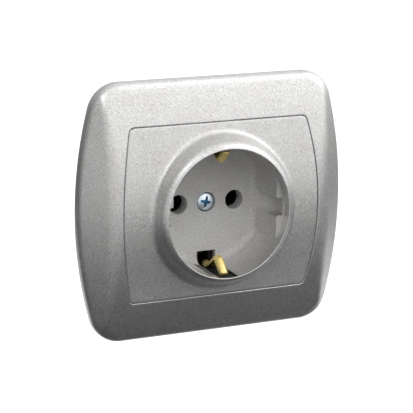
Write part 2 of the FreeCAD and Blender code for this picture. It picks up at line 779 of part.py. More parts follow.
def contact_base():
    """Moulded insulating block with open pockets for the contacts, the strap and the terminals."""
    base = new_body("contact_base")
    block = new_sketch(base, "base_block", "XZ_Plane", -base_front)
    draw_loop(block, rounded_rectangle(size(0), size(0), S.base_width, S.base_height, S.base_corner))
    pad(base, block, S.base_back - base_front, reverse=True)
    lugs = new_sketch(base, "base_lugs", "XZ_Plane", -base_front)
    draw_loop(lugs, rectangle(-S.lug_width / 2, S.lug_width / 2, -S.lug_reach, S.lug_reach))
    pad(base, lugs, S.lug_back - base_front, reverse=True)
    gap = S.pocket_gap
    strap = new_sketch(base, "strap_channel", "XZ_Plane", -base_front)
    reach = S.clip_root_reach + S.clip_thickness / 2 + gap
    half = S.clip_width / 2 + gap
    draw_loop(strap, rectangle(-half, half, -reach, reach))
    pocket(base, strap, strap_back + gap - base_front)
    eye = new_sketch(base, "eye_pocket", "XZ_Plane", -base_front)
    draw_circle(eye, 0, 0, S.strap_eye / 2 + gap)
    pocket(base, eye, strap_back + gap - base_front)
    nut = new_sketch(base, "nut_pocket", "XZ_Plane", -base_front)
    draw_circle(nut, 0, 0, S.nut_width / root(size(3)) + gap)
    pocket(base, nut, strap_back + S.seat_gap + S.nut_length + gap - base_front)
    tab = new_sketch(base, "tab_channel", "XZ_Plane", -base_front)
    tab_outer = S.tab_offset + S.tab_thickness / 2 + gap
    tab_half = S.tab_span / 2 + gap
    draw_loop(tab, rectangle(0, tab_outer, -S.tab_reach - tab_half, tab_half - S.tab_reach))
    pocket(base, tab, S.terminal_front - base_front)
    sleeve = S.sleeve_bore / 2 + S.sleeve_wall
    wells = new_sketch(base, "contact_wells", "XZ_Plane", -base_front)
    for side in SIDES:
        draw_circle(wells, side * S.pin_pitch / 2, 0, sleeve + gap)
    pocket(base, wells, S.sleeve_front + S.sleeve_length + gap - base_front)
    for side in SIDES:
        terminal_pocket(base, side)
    earth = new_sketch(base, "earth_terminal_pocket", "XZ_Plane", -S.base_back)
    half = S.terminal_width / 2 + gap
    draw_loop(earth, rectangle(S.earth_terminal_offset - half, S.earth_terminal_offset + half,
                               -S.base_height, S.terminal_height / 2 + gap - S.earth_terminal_reach))
    pocket(base, earth, S.base_back - S.terminal_front + gap, reverse=True)
    for side in SIDES:
        name = "low" if side < 0 else "high"
        hole = new_sketch(base, "rivet_hole_" + name, "XY_Plane", side * S.lug_reach)
        draw_circle(hole, 0, S.rivet_depth, S.rivet_shank / 2 + S.seat_gap)
        pocket(base, hole, S.lug_reach - S.rivet_reach + gap, reverse=side < 0)
    return base


def terminal_pocket(base, side):
    """Room for one live terminal, open at the back and the top, and a channel for the contact's tail."""
    name = "left" if side < 0 else "right"
    gap = S.pocket_gap
    half = S.terminal_width / 2 + gap
    well = new_sketch(base, "terminal_pocket_" + name, "XZ_Plane", -S.base_back)
    draw_loop(well, rectangle(side * terminal_offset - half, side * terminal_offset + half,
                              -S.terminal_height / 2 - gap, S.base_height))
    pocket(base, well, S.base_back - S.terminal_front + gap, reverse=True)
    channel = new_sketch(base, "tail_channel_" + name, "XZ_Plane", -S.base_back)
    inner = S.sleeve_bore / 2
    ends = sorted((side * S.pin_pitch / 2, side * terminal_offset), key=lambda place: place.value)
    draw_loop(channel, rectangle(ends[0], ends[1], -inner - S.sleeve_wall - gap, gap - inner))
    pocket(base, channel, S.base_back - S.tail_front + gap, reverse=True)


def live_contact(side):
    """A split brass sleeve for a pin, with a tail into the terminal."""
    name = "left" if side < 0 else "right"
    contact = new_body("live_contact_" + name)
    x = side * S.pin_pitch / 2
    inner = S.sleeve_bore / 2
    outer = inner + S.sleeve_wall
    ring = new_sketch(contact, "sleeve_ring_" + name, "XZ_Plane", -S.sleeve_front)
    draw_circle(ring, x, 0, outer)
    draw_circle(ring, x, 0, inner)
    pad(contact, ring, S.sleeve_length, reverse=True)
    tail = new_sketch(contact, "sleeve_tail_" + name, "XZ_Plane", -S.tail_front)
    ends = sorted((x, side * (terminal_offset - S.tail_short)), key=lambda place: place.value)
    draw_loop(tail, rectangle(ends[0], ends[1], -outer, -inner))
    pad(contact, tail, S.tail_width, reverse=True)
    slit = new_sketch(contact, "sleeve_slit_" + name, "XZ_Plane", -S.sleeve_front)
    ends = sorted((x, x - side * (outer + S.sleeve_wall)), key=lambda place: place.value)
    draw_loop(slit, rectangle(ends[0], ends[1], -S.sleeve_slit / 2, S.sleeve_slit / 2))
    pocket(contact, slit, S.sleeve_length)
    return contact


def terminal_block(name, x, z, up, slot):
    """A brass block with a hole for the wire, a slot for the contact and a hole for its screw."""
    block = new_body("%sterminal_block%s" % name)
    title = block.Name
    half_width, half_height = S.terminal_width / 2, S.terminal_height / 2
    body = new_sketch(block, title + "_body", "XZ_Plane", -S.terminal_front)
    draw_loop(body, rectangle(x - half_width, x + half_width, z - half_height, z + half_height))
    pad(block, body, S.terminal_length, reverse=True)
    ways = new_sketch(block, title + "_ways", "XZ_Plane", -S.terminal_front)
    draw_circle(ways, x, z, S.wire_hole / 2)
    draw_loop(ways, slot)
    pocket(block, ways, S.terminal_length)
    bore = new_sketch(block, title + "_bore", "XY_Plane", z + up * half_height)
    draw_circle(bore, x, S.terminal_front + S.terminal_length / 2, S.terminal_shank / 2 + S.thread_gap)
    pocket(block, bore, half_height, reverse=up < 0)
    return block


def terminal_screw(name, x, z, up):
    """A slotted screw that presses on the wire in its block."""
    screw = new_body("%sterminal_screw%s" % name)
    title = screw.Name
    y = S.terminal_front + S.terminal_length / 2
    head_z = z + up * (S.terminal_height / 2 + S.terminal_lift)
    shank = new_sketch(screw, title + "_shank", "XY_Plane", head_z)
    draw_circle(shank, x, y, S.terminal_shank / 2)
    pad(screw, shank, S.terminal_height / 2 + S.terminal_lift - S.wire_hole / 2, reverse=up > 0)
    head = new_sketch(screw, title + "_head", "XY_Plane", head_z)
    draw_circle(head, x, y, S.terminal_head / 2)
    pad(screw, head, S.terminal_head_height, reverse=up < 0)
    slot = new_sketch(screw, title + "_slot", "XY_Plane", head_z + up * S.terminal_head_height)
    half = S.terminal_slot / 2
    draw_loop(slot, rectangle(x - S.terminal_head, x + S.terminal_head, y - half, y + half))
    pocket(screw, slot, S.terminal_head_height / 2, reverse=up < 0)
    return screw


def terminals():
    """The two live terminals and the earth terminal, each a block and a screw."""
    made = []
    gap = S.seat_gap
    inner = S.sleeve_bore / 2
    for side in SIDES:
        name = ("", "_left" if side < 0 else "_right")
        x = side * terminal_offset
        near = x - side * (S.terminal_width / 2 + gap)
        far = x - side * (S.tail_short - gap)
        ends = sorted((near, far), key=lambda place: place.value)
        slot = rectangle(ends[0], ends[1], -inner - S.sleeve_wall - gap, gap - inner)
        made.append(terminal_block(name, x, size(0), 1, slot))
        made.append(terminal_screw(name, x, size(0), 1))
    half_arm = S.tab_thickness / 2 + gap
    half_span = S.tab_span / 2 + gap
    slot = rectangle(S.tab_offset - half_arm, S.tab_offset + half_arm,
                     -S.tab_reach - half_span, half_span - S.tab_reach)
    made.append(terminal_block(("earth_", ""), S.earth_terminal_offset, -S.earth_terminal_reach, -1, slot))
    made.append(terminal_screw(("earth_", ""), S.earth_terminal_offset, -S.earth_terminal_reach, -1))
    return made


def support_frame():
    """Stamped steel plate with a hole for the bowl, slots for the box screws and two legs bent back."""
    frame = new_body("support_frame")
    plate = new_sketch(frame, "plate_sheet", "XZ_Plane")
    draw_loop(plate, rounded_rectangle(size(0), size(0), plate_size, plate_size, S.plate_corner))
    pad(frame, plate, S.plate_thickness)
    holes = new_sketch(frame, "plate_holes", "XZ_Plane")
    draw_circle(holes, 0, 0, S.plate_hole)
    seat = claw_seat()
    for side in SIDES:
        draw_loop(holes, slot_loop(size(0), side * S.box_screw_pitch / 2,
                                   S.box_slot_length, S.box_slot_width, (0, 1)))
        draw_loop(holes, slot_loop(side * (claw_offset + S.claw_slot_run / 2), size(0),
                                   2 * seat + S.claw_slot_run, 2 * seat, (1, 0)))
    pocket(frame, holes, symmetric=True)
    near = S.lug_reach + S.leg_gap
    for side in SIDES:
        name = "low" if side < 0 else "high"
        ends = sorted((side * near, side * (near + S.plate_thickness)), key=lambda place: place.value)
        leg = new_sketch(frame, "plate_leg_" + name, "XZ_Plane", S.plate_thickness)
        draw_loop(leg, rectangle(-S.leg_width / 2, S.leg_width / 2, *ends))
        pad(frame, leg, S.plate_thickness + S.lug_back, reverse=True)
    rivets = new_sketch(frame, "leg_holes", "XY_Plane")
    draw_circle(rivets, 0, S.rivet_depth, S.rivet_shank / 2 + S.seat_gap)
    pocket(frame, rivets, symmetric=True)
    return frame


def cylinder(name, radius, height, y, z):
    item = doc.addObject("Part::Cylinder", name)
    bind(item, "Radius", radius)
    bind(item, "Height", height)
    bind(item, "Placement.Base.y", y)
    bind(item, "Placement.Base.z", z)
    return item


def base_rivets():
    """One rivet through each leg into the base's lug."""
    solids = []
    head_z = S.lug_reach + S.leg_gap + S.plate_thickness + S.seat_gap
    length = head_z - S.rivet_reach
    for side in SIDES:
        name = "low" if side < 0 else "high"
        shank_z = S.rivet_reach if side > 0 else -head_z
        cap_z = head_z if side > 0 else -head_z - S.rivet_head_height
        shank = cylinder("rivet_shank_" + name, S.rivet_shank / 2, length, S.rivet_depth, shank_z)
        head = cylinder("rivet_head_" + name, S.rivet_head / 2, S.rivet_head_height, S.rivet_depth, cap_z)
        solids += [shank, head]
    return joined("Part::MultiFuse", "base_rivets", solids)


def claw(side):
    """A claw bent from sheet round its screw, with two teeth that bite into the wall box."""
    name = "left" if side < 0 else "right"
    item = new_body("claw_" + name)
    bind(item, "Placement.Base.x", side * claw_offset)
    sheet_wall = S.claw_sheet
    inner, outer = -S.claw_inner, S.claw_outer
    front, back = S.claw_front, S.claw_back
    profile = new_sketch(item, "claw_profile_" + name, "XY_Plane")
    draw_loop(profile, [
        (side * inner, front),
        (side * outer, front),
        (side * outer, back),
        (side * inner, back),
        (side * inner, back - sheet_wall),
        (side * (outer - sheet_wall), back - sheet_wall),
        (side * (outer - sheet_wall), front + sheet_wall),
        (side * inner, front + sheet_wall),
    ])
    pad(item, profile, S.claw_height, symmetric=True)
    for place in SIDES:
        tooth_z = place * S.tooth_pitch / 2 - S.tooth_width / 2
        tooth_name = "tooth_%s_%s" % (name, "low" if place < 0 else "high")
        tooth = new_sketch(item, tooth_name, "XY_Plane", tooth_z)
        inside = outer - S.claw_sheet / 2
        draw_loop(tooth, [
            (side * inside, back - S.tooth_height),
            (side * outer, back - S.tooth_height),
            (side * (outer + S.tooth_reach), back),
            (side * inside, back),
        ])
        pad(item, tooth, S.tooth_width)
    bore = new_sketch(item, "claw_bore_" + name, "XZ_Plane")
    draw_circle(bore, 0, 0, S.claw_shank / 2 + S.thread_gap)
    pocket(item, bore, symmetric=True)
    return item


def claw_screw(side):
    """The screw that spreads a claw: its head has a round seat, so that it can swing with the claw."""
    name = "left" if side < 0 else "right"
    screw = new_body("claw_screw_" + name)
    bind(screw, "Placement.Base.x", side * claw_offset)
    shank = S.claw_shank / 2
    ball = S.claw_ball
    top = -S.claw_ball_height - S.claw_head_cut
    under = root(ball * ball - shank * shank) - S.claw_ball_height
    profile = new_sketch(screw, "claw_screw_profile_" + name, "XY_Plane")
    draw_loop(profile, [
        (0, top),
        (ball, top),
        (ball, -S.claw_ball_height),
        (shank, under, ball),
        (shank, S.claw_back + S.claw_screw_tip),
        (0, S.claw_back + S.claw_screw_tip),
    ])
    turn_on(screw, "Revolution", profile, "Y_Axis")
    drive = new_sketch(screw, "claw_screw_drive_" + name, "XZ_Plane", -top)
    draw_loop(drive, cross_loop(S.drive_width, S.drive_span))
    pocket(screw, drive, S.drive_depth)
    return screw


nodes = [outer_frame(), socket_cover(), cover_screw(), center_nut(), earth_bow(), contact_base()]
nodes += [live_contact(side) for side in SIDES]
nodes += terminals()
nodes += [support_frame(), base_rivets()]
for side in SIDES:
    nodes += [claw(side), claw_screw(side)]
doc.recompute()

failed = [item.Name for item in doc.Objects if "Invalid" in item.State or "Error" in item.State]
failed += [node.Label for node in nodes if node.Shape.isNull() or not node.Shape.isValid()]
if failed:
    raise SystemExit("these objects failed: " + ", ".join(failed))

os.makedirs("parts", exist_ok=True)
for node in nodes:
    node.Shape.exportStep("parts/%s.step" % node.Label)
print("%d sub-parts" % len(nodes))
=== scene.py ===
import bmesh
import bpy
import math
import numpy as np
from mathutils import Matrix, Vector, geometry


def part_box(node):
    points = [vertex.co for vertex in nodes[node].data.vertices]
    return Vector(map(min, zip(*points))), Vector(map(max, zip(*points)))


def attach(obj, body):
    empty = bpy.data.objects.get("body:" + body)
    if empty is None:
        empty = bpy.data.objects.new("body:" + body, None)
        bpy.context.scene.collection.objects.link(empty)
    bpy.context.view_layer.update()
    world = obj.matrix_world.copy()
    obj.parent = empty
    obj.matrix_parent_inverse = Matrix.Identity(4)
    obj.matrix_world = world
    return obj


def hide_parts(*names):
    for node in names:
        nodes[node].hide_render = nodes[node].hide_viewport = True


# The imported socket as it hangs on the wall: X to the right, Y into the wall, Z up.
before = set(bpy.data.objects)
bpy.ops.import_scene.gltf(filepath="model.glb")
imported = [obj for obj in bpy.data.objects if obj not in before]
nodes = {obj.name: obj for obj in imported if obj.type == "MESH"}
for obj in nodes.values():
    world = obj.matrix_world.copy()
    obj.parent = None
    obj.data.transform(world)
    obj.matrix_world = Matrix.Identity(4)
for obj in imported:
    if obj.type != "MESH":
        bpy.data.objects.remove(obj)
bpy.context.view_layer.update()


# The support plate is stamped from galvanised steel sheet and screwed to the wall box.
# Two rivets through its legs hold the contact base.

def new_finish(name):
    """A finish and its shader."""
    finish = bpy.data.materials.new(name)
    finish.use_nodes = True
    return finish, finish.node_tree.nodes["Principled BSDF"]


def add_node(finish, kind, values, **settings):
    """A node of a finish with its loose sockets filled in."""
    node = finish.node_tree.nodes.new(kind)
    for name, value in settings.items():
        setattr(node, name, value)
    for socket, value in values.items():
        node.inputs[socket].default_value = value
    return node


def join(finish, output, socket):
    finish.node_tree.links.new(output, socket)


def grain(finish, scale, detail, stretch=(1, 1, 1)):
    """Noise fixed to the piece, with a scale in grains to the metre, drawn out along an axis."""
    place = add_node(finish, "ShaderNodeTexCoord", {})
    mapping = add_node(finish, "ShaderNodeMapping", {"Scale": stretch})
    noise = add_node(finish, "ShaderNodeTexNoise", {"Scale": scale, "Detail": detail})
    join(finish, place.outputs["Object"], mapping.inputs["Vector"])
    join(finish, mapping.outputs["Vector"], noise.inputs["Vector"])
    return noise.outputs["Fac"]


NOISE_LOW = 0.3
NOISE_HIGH = 0.7


def spread(finish, source, low, high):
    """Noise spread between two values."""
    node = add_node(finish, "ShaderNodeMapRange", {
        "From Min": NOISE_LOW, "From Max": NOISE_HIGH, "To Min": low, "To Max": high})
    join(finish, source, node.inputs["Value"])
    return node.outputs["Result"]


def tint(finish, source, dark, light):
    """Noise turned into a colour between two."""
    node = add_node(finish, "ShaderNodeValToRGB", {})
    node.color_ramp.elements[0].position = NOISE_LOW
    node.color_ramp.elements[0].color = (*dark, 1)
    node.color_ramp.elements[1].position = NOISE_HIGH
    node.color_ramp.elements[1].color = (*light, 1)
    join(finish, source, node.inputs["Fac"])
    return node.outputs["Color"]


def roughen(finish, shader, source, strength, depth):
    """Relief of a given depth in metres."""
    node = add_node(finish, "ShaderNodeBump", {"Strength": strength, "Distance": depth})
    join(finish, source, node.inputs["Height"])
    join(finish, node.outputs["Normal"], shader.inputs["Normal"])


SPANGLE_GRAINS = 320
ROLLING_GRAINS = 900
ROLLING_STRETCH = (1, 8, 8)
ROLLING_STRENGTH = 0.25
ROLLING_DEPTH = 0.00006
SHEET_DULL = (0.48, 0.49, 0.50)
SHEET_BRIGHT = (0.66, 0.67, 0.68)
SHEET_ROUGHNESS = (0.48, 0.30)


def galvanised_sheet():
    """Zinc on steel: pale spangles, dull and bright by turns, with fine rolling marks."""
    finish, shader = new_finish("galvanised_sheet")
    shader.inputs["Metallic"].default_value = 1
    spangle = grain(finish, SPANGLE_GRAINS, 3)
    rolling = grain(finish, ROLLING_GRAINS, 2, ROLLING_STRETCH)
    join(finish, tint(finish, spangle, SHEET_DULL, SHEET_BRIGHT), shader.inputs["Base Color"])
    join(finish, spread(finish, spangle, *SHEET_ROUGHNESS), shader.inputs["Roughness"])
    roughen(finish, shader, rolling, ROLLING_STRENGTH, ROLLING_DEPTH)
    return finish


def dress(names, finish):
    """Gives CAD nodes that stay as they are a finish."""
    for name in names:
        nodes[name].data.materials.clear()
        nodes[name].data.materials.append(finish)


sheet_finish = galvanised_sheet()
dress(["support_frame", "base_rivets"], sheet_finish)


# The contact base is a moulded block of dark insulating plastic behind the plate.
# It has a fine matt grain from its mould.

CLOUD_GRAINS = 140
MOULD_GRAINS = 4200
MOULD_STRENGTH = 0.3
MOULD_DEPTH = 0.00004
MOULD_ROUGHNESS = (0.50, 0.68)
MOULD_SHINE = 0.25
BASE_DARK = (0.010, 0.010, 0.011)
BASE_LIGHT = (0.016, 0.016, 0.017)


def moulded_plastic(name, dark, light):
    """Moulding with a matt, slightly uneven grain."""
    finish, shader = new_finish(name)
    cloud = grain(finish, CLOUD_GRAINS, 3)
    texture = grain(finish, MOULD_GRAINS, 2)
    join(finish, tint(finish, cloud, dark, light), shader.inputs["Base Color"])
    join(finish, spread(finish, texture, *MOULD_ROUGHNESS), shader.inputs["Roughness"])
    shader.inputs["Specular IOR Level"].default_value = MOULD_SHINE
    roughen(finish, shader, texture, MOULD_STRENGTH, MOULD_DEPTH)
    return finish


base_and_shade_finish = moulded_plastic("base_plastic", BASE_DARK, BASE_LIGHT)
dress(["contact_base"], base_and_shade_finish)


# Brass carries the current: two split sleeves, three terminal blocks and the nut on the cover screw.
# The sleeves are coloured nearly black, painted shade deep in the pin holes, and the terminal screws are
# zinc-plated steel.

MM = 0.001
STAIN_GRAINS = 420
DRAWING_GRAINS = 2600
DRAWING_STRETCH = (1, 0.12, 1)
DRAWING_STRENGTH = 0.2
DRAWING_DEPTH = 0.00003
DRAWING_DULLNESS = 0.14
# Near-black brass that stands for painted shade deep in the socket.
DEEP_SHADE_BRASS = (0.012, 0.009, 0.004)
SLEEVE_SHADE_DARK = (0.010, 0.008, 0.005)
SLEEVE_SHADE_LIGHT = (0.022, 0.017, 0.009)
SLEEVE_ROUGHNESS = 0.45
BLOCK_DARK = (0.52, 0.36, 0.13)
BLOCK_LIGHT = (0.72, 0.54, 0.24)
BLOCK_ROUGHNESS = 0.28
ZINC_GRAINS = 700
ZINC_STRENGTH = 0.1
ZINC_DEPTH = 0.00004
ZINC_DARK = (0.62, 0.74, 0.86)
ZINC_LIGHT = (0.84, 0.92, 0.98)
# A darker blue painted into the screw's cross recess as shade.
RECESS_SHADE_BLUE = (0.04, 0.18, 0.33)
ZINC_ROUGHNESS = (0.46, 0.30)


def change_with_depth(finish, depths, low=0.0, high=1.0):
    """A value that goes from one to another between two depths, in millimetres along Y."""
    place = add_node(finish, "ShaderNodeTexCoord", {})
    parts = add_node(finish, "ShaderNodeSeparateXYZ", {})
    change = add_node(finish, "ShaderNodeMapRange", {
        "From Min": depths[0] * MM, "From Max": depths[1] * MM, "To Min": low, "To Max": high})
    join(finish, place.outputs["Object"], parts.inputs["Vector"])
    join(finish, parts.outputs["Y"], change.inputs["Value"])
    return change.outputs["Result"]


def recolor_with_depth(finish, color, deep_color, depths):
    """A colour that turns into another between two depths."""
    mix = add_node(finish, "ShaderNodeMix", {"B": (*deep_color, 1)}, data_type="RGBA")
    join(finish, change_with_depth(finish, depths), mix.inputs["Factor"])
    join(finish, color, mix.inputs["A"])
    return mix.outputs["Result"]


def rolled_brass(name, dark, light, roughness, metal=1.0, shade_depths=None):
    """Brass strip or bar with faint drawing marks along Y, with painted shade that darkens it where it
    lies deep in the socket.
    """
    finish, shader = new_finish(name)
    shader.inputs["Metallic"].default_value = metal
    stain = grain(finish, STAIN_GRAINS, 4)
    drawing = grain(finish, DRAWING_GRAINS, 2, DRAWING_STRETCH)
    color = tint(finish, stain, dark, light)
    if shade_depths:
        color = recolor_with_depth(finish, color, DEEP_SHADE_BRASS, shade_depths)
    join(finish, color, shader.inputs["Base Color"])
    uneven = spread(finish, drawing, roughness, roughness + DRAWING_DULLNESS)
    join(finish, uneven, shader.inputs["Roughness"])
    roughen(finish, shader, drawing, DRAWING_STRENGTH, DRAWING_DEPTH)
    return finish


def zinc_plating(name, recess_shade_depths=None):
    """Bright zinc with a blue cast, painted a deeper blue in a recess as shade."""
    finish, shader = new_finish(name)
    shader.inputs["Metallic"].default_value = 1
    cloud = grain(finish, ZINC_GRAINS, 3)
    color = tint(finish, cloud, ZINC_DARK, ZINC_LIGHT)
    if recess_shade_depths:
        color = recolor_with_depth(finish, color, RECESS_SHADE_BLUE, recess_shade_depths)
    join(finish, color, shader.inputs["Base Color"])
    join(finish, spread(finish, cloud, *ZINC_ROUGHNESS), shader.inputs["Roughness"])
    roughen(finish, shader, cloud, ZINC_STRENGTH, ZINC_DEPTH)
    return finish


# The live sleeves' near-black colour is painted shade inside the pin holes, not the brass's own tone.
shaded_sleeve_brass = rolled_brass("shaded_sleeve_brass", SLEEVE_SHADE_DARK, SLEEVE_SHADE_LIGHT, SLEEVE_ROUGHNESS)
dress(["live_contact_left", "live_contact_right"], shaded_sleeve_brass)
block_brass = rolled_brass("block_brass", BLOCK_DARK, BLOCK_LIGHT, BLOCK_ROUGHNESS)
dress(["terminal_block_left", "terminal_block_right", "earth_terminal_block", "center_nut"], block_brass)
screw_zinc = zinc_plating("zinc_screw")
dress(["terminal_screw_left", "terminal_screw_right", "earth_terminal_screw"], screw_zinc)


# The claws are bent from galvanised sheet and swing on the round seats of their screws.
# They spread against the wall box when the screws are tightened.

dress(["claw_left", "claw_right"], sheet_finish)
dress(["claw_screw_left", "claw_screw_right"], screw_zinc)


# The earth strap is one brass strip, pressed hollow and bent into a sprung clip at each end.
# The clips stand in openings at the top and bottom of the bowl. The cover screw passes through its eye,
# and a tab reaches back to the earth terminal.

WELD = 0.0005
SHARP = math.radians(32)


class Skin:
    """Points and faces of a piece, gathered part by part."""

    def __init__(self):
        self.points = []
        self.faces = []

    def add(self, points, faces):
        start = len(self.points)
        self.points += [tuple(point) for point in points]
        self.faces += [[start + corner for corner in face] for face in faces]

    def add_rows(self, rows, round_rows=False):
        """A sheet through closed rows of points, each as long as the next, closed on itself if asked."""
        count = len(rows[0])
        pairs = [(number, number + 1) for number in range(len(rows) - 1)]
        if round_rows:
            pairs.append((len(rows) - 1, 0))
        faces = []
        for low, high in pairs:
            for column in range(count):
                after = (column + 1) % count
                faces.append((low * count + column, low * count + after,
                              high * count + after, high * count + column))
        self.add(np.concatenate(rows), faces)

    def add_bar(self, rows):
        """A sheet through closed rows of points, with a face at each end."""
        start = len(self.points)
        self.add_rows(rows)
        count = len(rows[0])
        last = len(self.points) - count
        self.faces.append([start + corner for corner in range(count)])
        self.faces.append([last + corner for corner in range(count)])


def new_piece(name, skin, finish):
    """A welded mesh from a skin in millimetres, smooth but for its sharp edges, fixed to the socket."""
    mesh = bpy.data.meshes.new(name)
    mesh.from_pydata(np.array(skin.points) * MM, [], skin.faces)
    form = bmesh.new()
    form.from_mesh(mesh)
    bmesh.ops.remove_doubles(form, verts=form.verts, dist=WELD * MM)
    bmesh.ops.recalc_face_normals(form, faces=form.faces)
    for face in form.faces:
        face.smooth = True
    for edge in form.edges:
        edge.smooth = edge.calc_face_angle(math.pi) < SHARP
    form.to_mesh(mesh)
    form.free()
    mesh.materials.append(finish)
    piece = bpy.data.objects.new(name, mesh)
    bpy.context.scene.collection.objects.link(piece)
    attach(piece, "socket")
    return piece


STRIP_WIDTH = 3.0
STRIP_SHEET = 0.5
STRIP_RISE = 1.5
STRIP_RIM = 0.65
STRIP_STEPS = 20
STRAP_THICKNESS = 1.3
UPPER_CLIP = [(-12.6, 18.9), (-8.4, 15.0), (-1.8, 19.3)]
LOWER_CLIP = [(-11.7, 19.7), (-7.1, 15.05), (-1.0, 19.3)]
STRAP_DEPTH = 8.37
BEND_ROUND = 1.5
BEND_STEPS = 10
TIP_ROUND = 0.75
TIP_STEPS = 6
TIP_START = 0.15
TIP_FULLNESS = 0.6
EYE_RADIUS = 5.0
EYE_BORE = 2.05
EYE_EDGE = 0.25
EYE_SIDES = 64
TAB_OUT = 3.4
TAB_SHEET = 0.8
TAB_LOW = -13.0
TAB_HIGH = -9.5
TAB_BACK = 22.0
CLIP_DARK = (0.78, 0.61, 0.20)
CLIP_LIGHT = (0.94, 0.78, 0.34)
CLIP_ROUGHNESS = 0.26
CLIP_METAL = 0.65
CLIP_SHADE_DEPTHS = (0.5, 2.5)


def rounded_route(corners, radius, steps):
    """A line through corners with each inner one rounded to an arc."""
    corners = [np.array(corner, float) for corner in corners]
    route = [corners[0]]
    for before, corner, after in zip(corners, corners[1:], corners[2:]):
        back = (before - corner) / np.linalg.norm(before - corner)
        ahead = (after - corner) / np.linalg.norm(after - corner)
        half = math.acos(np.clip(back @ ahead, -1, 1)) / 2
        middle = (back + ahead) / np.linalg.norm(back + ahead)
        center = corner + middle * radius / math.sin(half)
        start = corner + back * radius / math.tan(half) - center
        end = corner + ahead * radius / math.tan(half) - center
        turn = math.pi - 2 * half
        for number in range(steps + 1):
            share = number / steps
            spoke = math.sin((1 - share) * turn) * start + math.sin(share * turn) * end
            route.append(center + spoke / math.sin(turn))
    return route + [corners[-1]]


def strip_section():
    """The strip's cut: X across, and how far it lies behind the middle of its arched sheet."""
    turns = np.linspace(0, math.pi, STRIP_STEPS)
    across, arch = np.cos(turns), np.sin(turns)
    half = STRIP_WIDTH / 2
    hollow = STRIP_RISE - STRIP_SHEET
    outside = np.column_stack([half * across, STRIP_RIM - STRIP_RISE * arch])
    inside = np.column_stack([(half - STRIP_SHEET) * across, STRIP_RIM - hollow * arch])
    return np.concatenate([outside, inside[::-1]]).T


def earth_strip():
    """Rows of points along the whole strip, from the upper clip's tip to the lower one's."""
    upper = UPPER_CLIP + [(STRAP_DEPTH, UPPER_CLIP[-1][1])]
    lower = LOWER_CLIP + [(STRAP_DEPTH, LOWER_CLIP[-1][1])]
    corners = upper + [(y, -z) for y, z in reversed(lower)]
    route = rounded_route(corners, BEND_ROUND, BEND_STEPS)
    across, through = strip_section()
    rows = []
    for number, spot in enumerate(route):
        ahead = route[min(number + 1, len(route) - 1)] - route[max(number - 1, 0)]
        ahead = ahead / np.linalg.norm(ahead)
        reach = np.outer(through, (-ahead[1], ahead[0]))
        rows.append(np.column_stack([across, spot[0] + reach[:, 0], spot[1] + reach[:, 1]]))
    return [round_tip(rows[0], rows[1], step) for step in range(TIP_STEPS)] + rows[1:-1] + [
        round_tip(rows[-1], rows[-2], step) for step in reversed(range(TIP_STEPS))]


def round_tip(end, inner, step):
    """One of the rows that draw the strip's end together."""
    turn = math.pi / 2 * (step + TIP_START) / TIP_STEPS
    ahead = end.mean(0) - inner.mean(0)
    ahead = ahead / np.linalg.norm(ahead)
    middle = end.mean(0) - ahead * TIP_ROUND * (1 - math.cos(turn))
    return middle + (end - end.mean(0)) * math.sin(turn) ** TIP_FULLNESS


def turned_rows(x, z, profile, count):
    """Rows of points about an axis along Y through x and z, one for each radius and depth."""
    angles = np.linspace(0, 2 * math.pi, count, endpoint=False)
    across, upright = np.cos(angles), np.sin(angles)
    return [np.column_stack([x + radius * across, np.full(count, depth), z + radius * upright])
            for radius, depth in profile]


def add_block(skin, low, high):
    """A plain bar between two corners, as a ring of four sides and two ends."""
    loop = [(low[0], low[2]), (high[0], low[2]), (high[0], high[2]), (low[0], high[2])]
    points = [(x, y, z) for y in (low[1], high[1]) for x, z in loop]
    sides = [(n, (n + 1) % 4, 4 + (n + 1) % 4, 4 + n) for n in range(4)]
    skin.add(points, sides + [(0, 1, 2, 3), (4, 5, 6, 7)])


def earth_strap():
    skin = Skin()
    skin.add_bar(earth_strip())
    front = STRAP_DEPTH - STRAP_THICKNESS / 2
    back = STRAP_DEPTH + STRAP_THICKNESS / 2
    skin.add_rows(turned_rows(0, 0, [
        (EYE_BORE, front), (EYE_RADIUS - EYE_EDGE, front), (EYE_RADIUS, front + EYE_EDGE),
        (EYE_RADIUS, back - EYE_EDGE), (EYE_RADIUS - EYE_EDGE, back), (EYE_BORE, back)], EYE_SIDES), True)
    tab_in = TAB_OUT - TAB_SHEET
    tab = [(0, front), (TAB_OUT, front), (TAB_OUT, TAB_BACK),
           (tab_in, TAB_BACK), (tab_in, back), (0, back)]
    skin.add_bar([np.array([(x, y, z) for x, y in tab]) for z in (TAB_LOW, TAB_HIGH)])
    return skin


# The clips turn nearly black with depth: painted shade inside their openings.
clip_brass = rolled_brass("clip_brass", CLIP_DARK, CLIP_LIGHT, CLIP_ROUGHNESS, CLIP_METAL, CLIP_SHADE_DEPTHS)
strap = new_piece("earth_strap", earth_strap(), clip_brass)
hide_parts("earth_bow")


# The outer frame is an injection-moulded shell with bowed sides and a front crowned from top to bottom.
# It is sprayed with a silver-grey lacquer that has a fine metal flake in it.

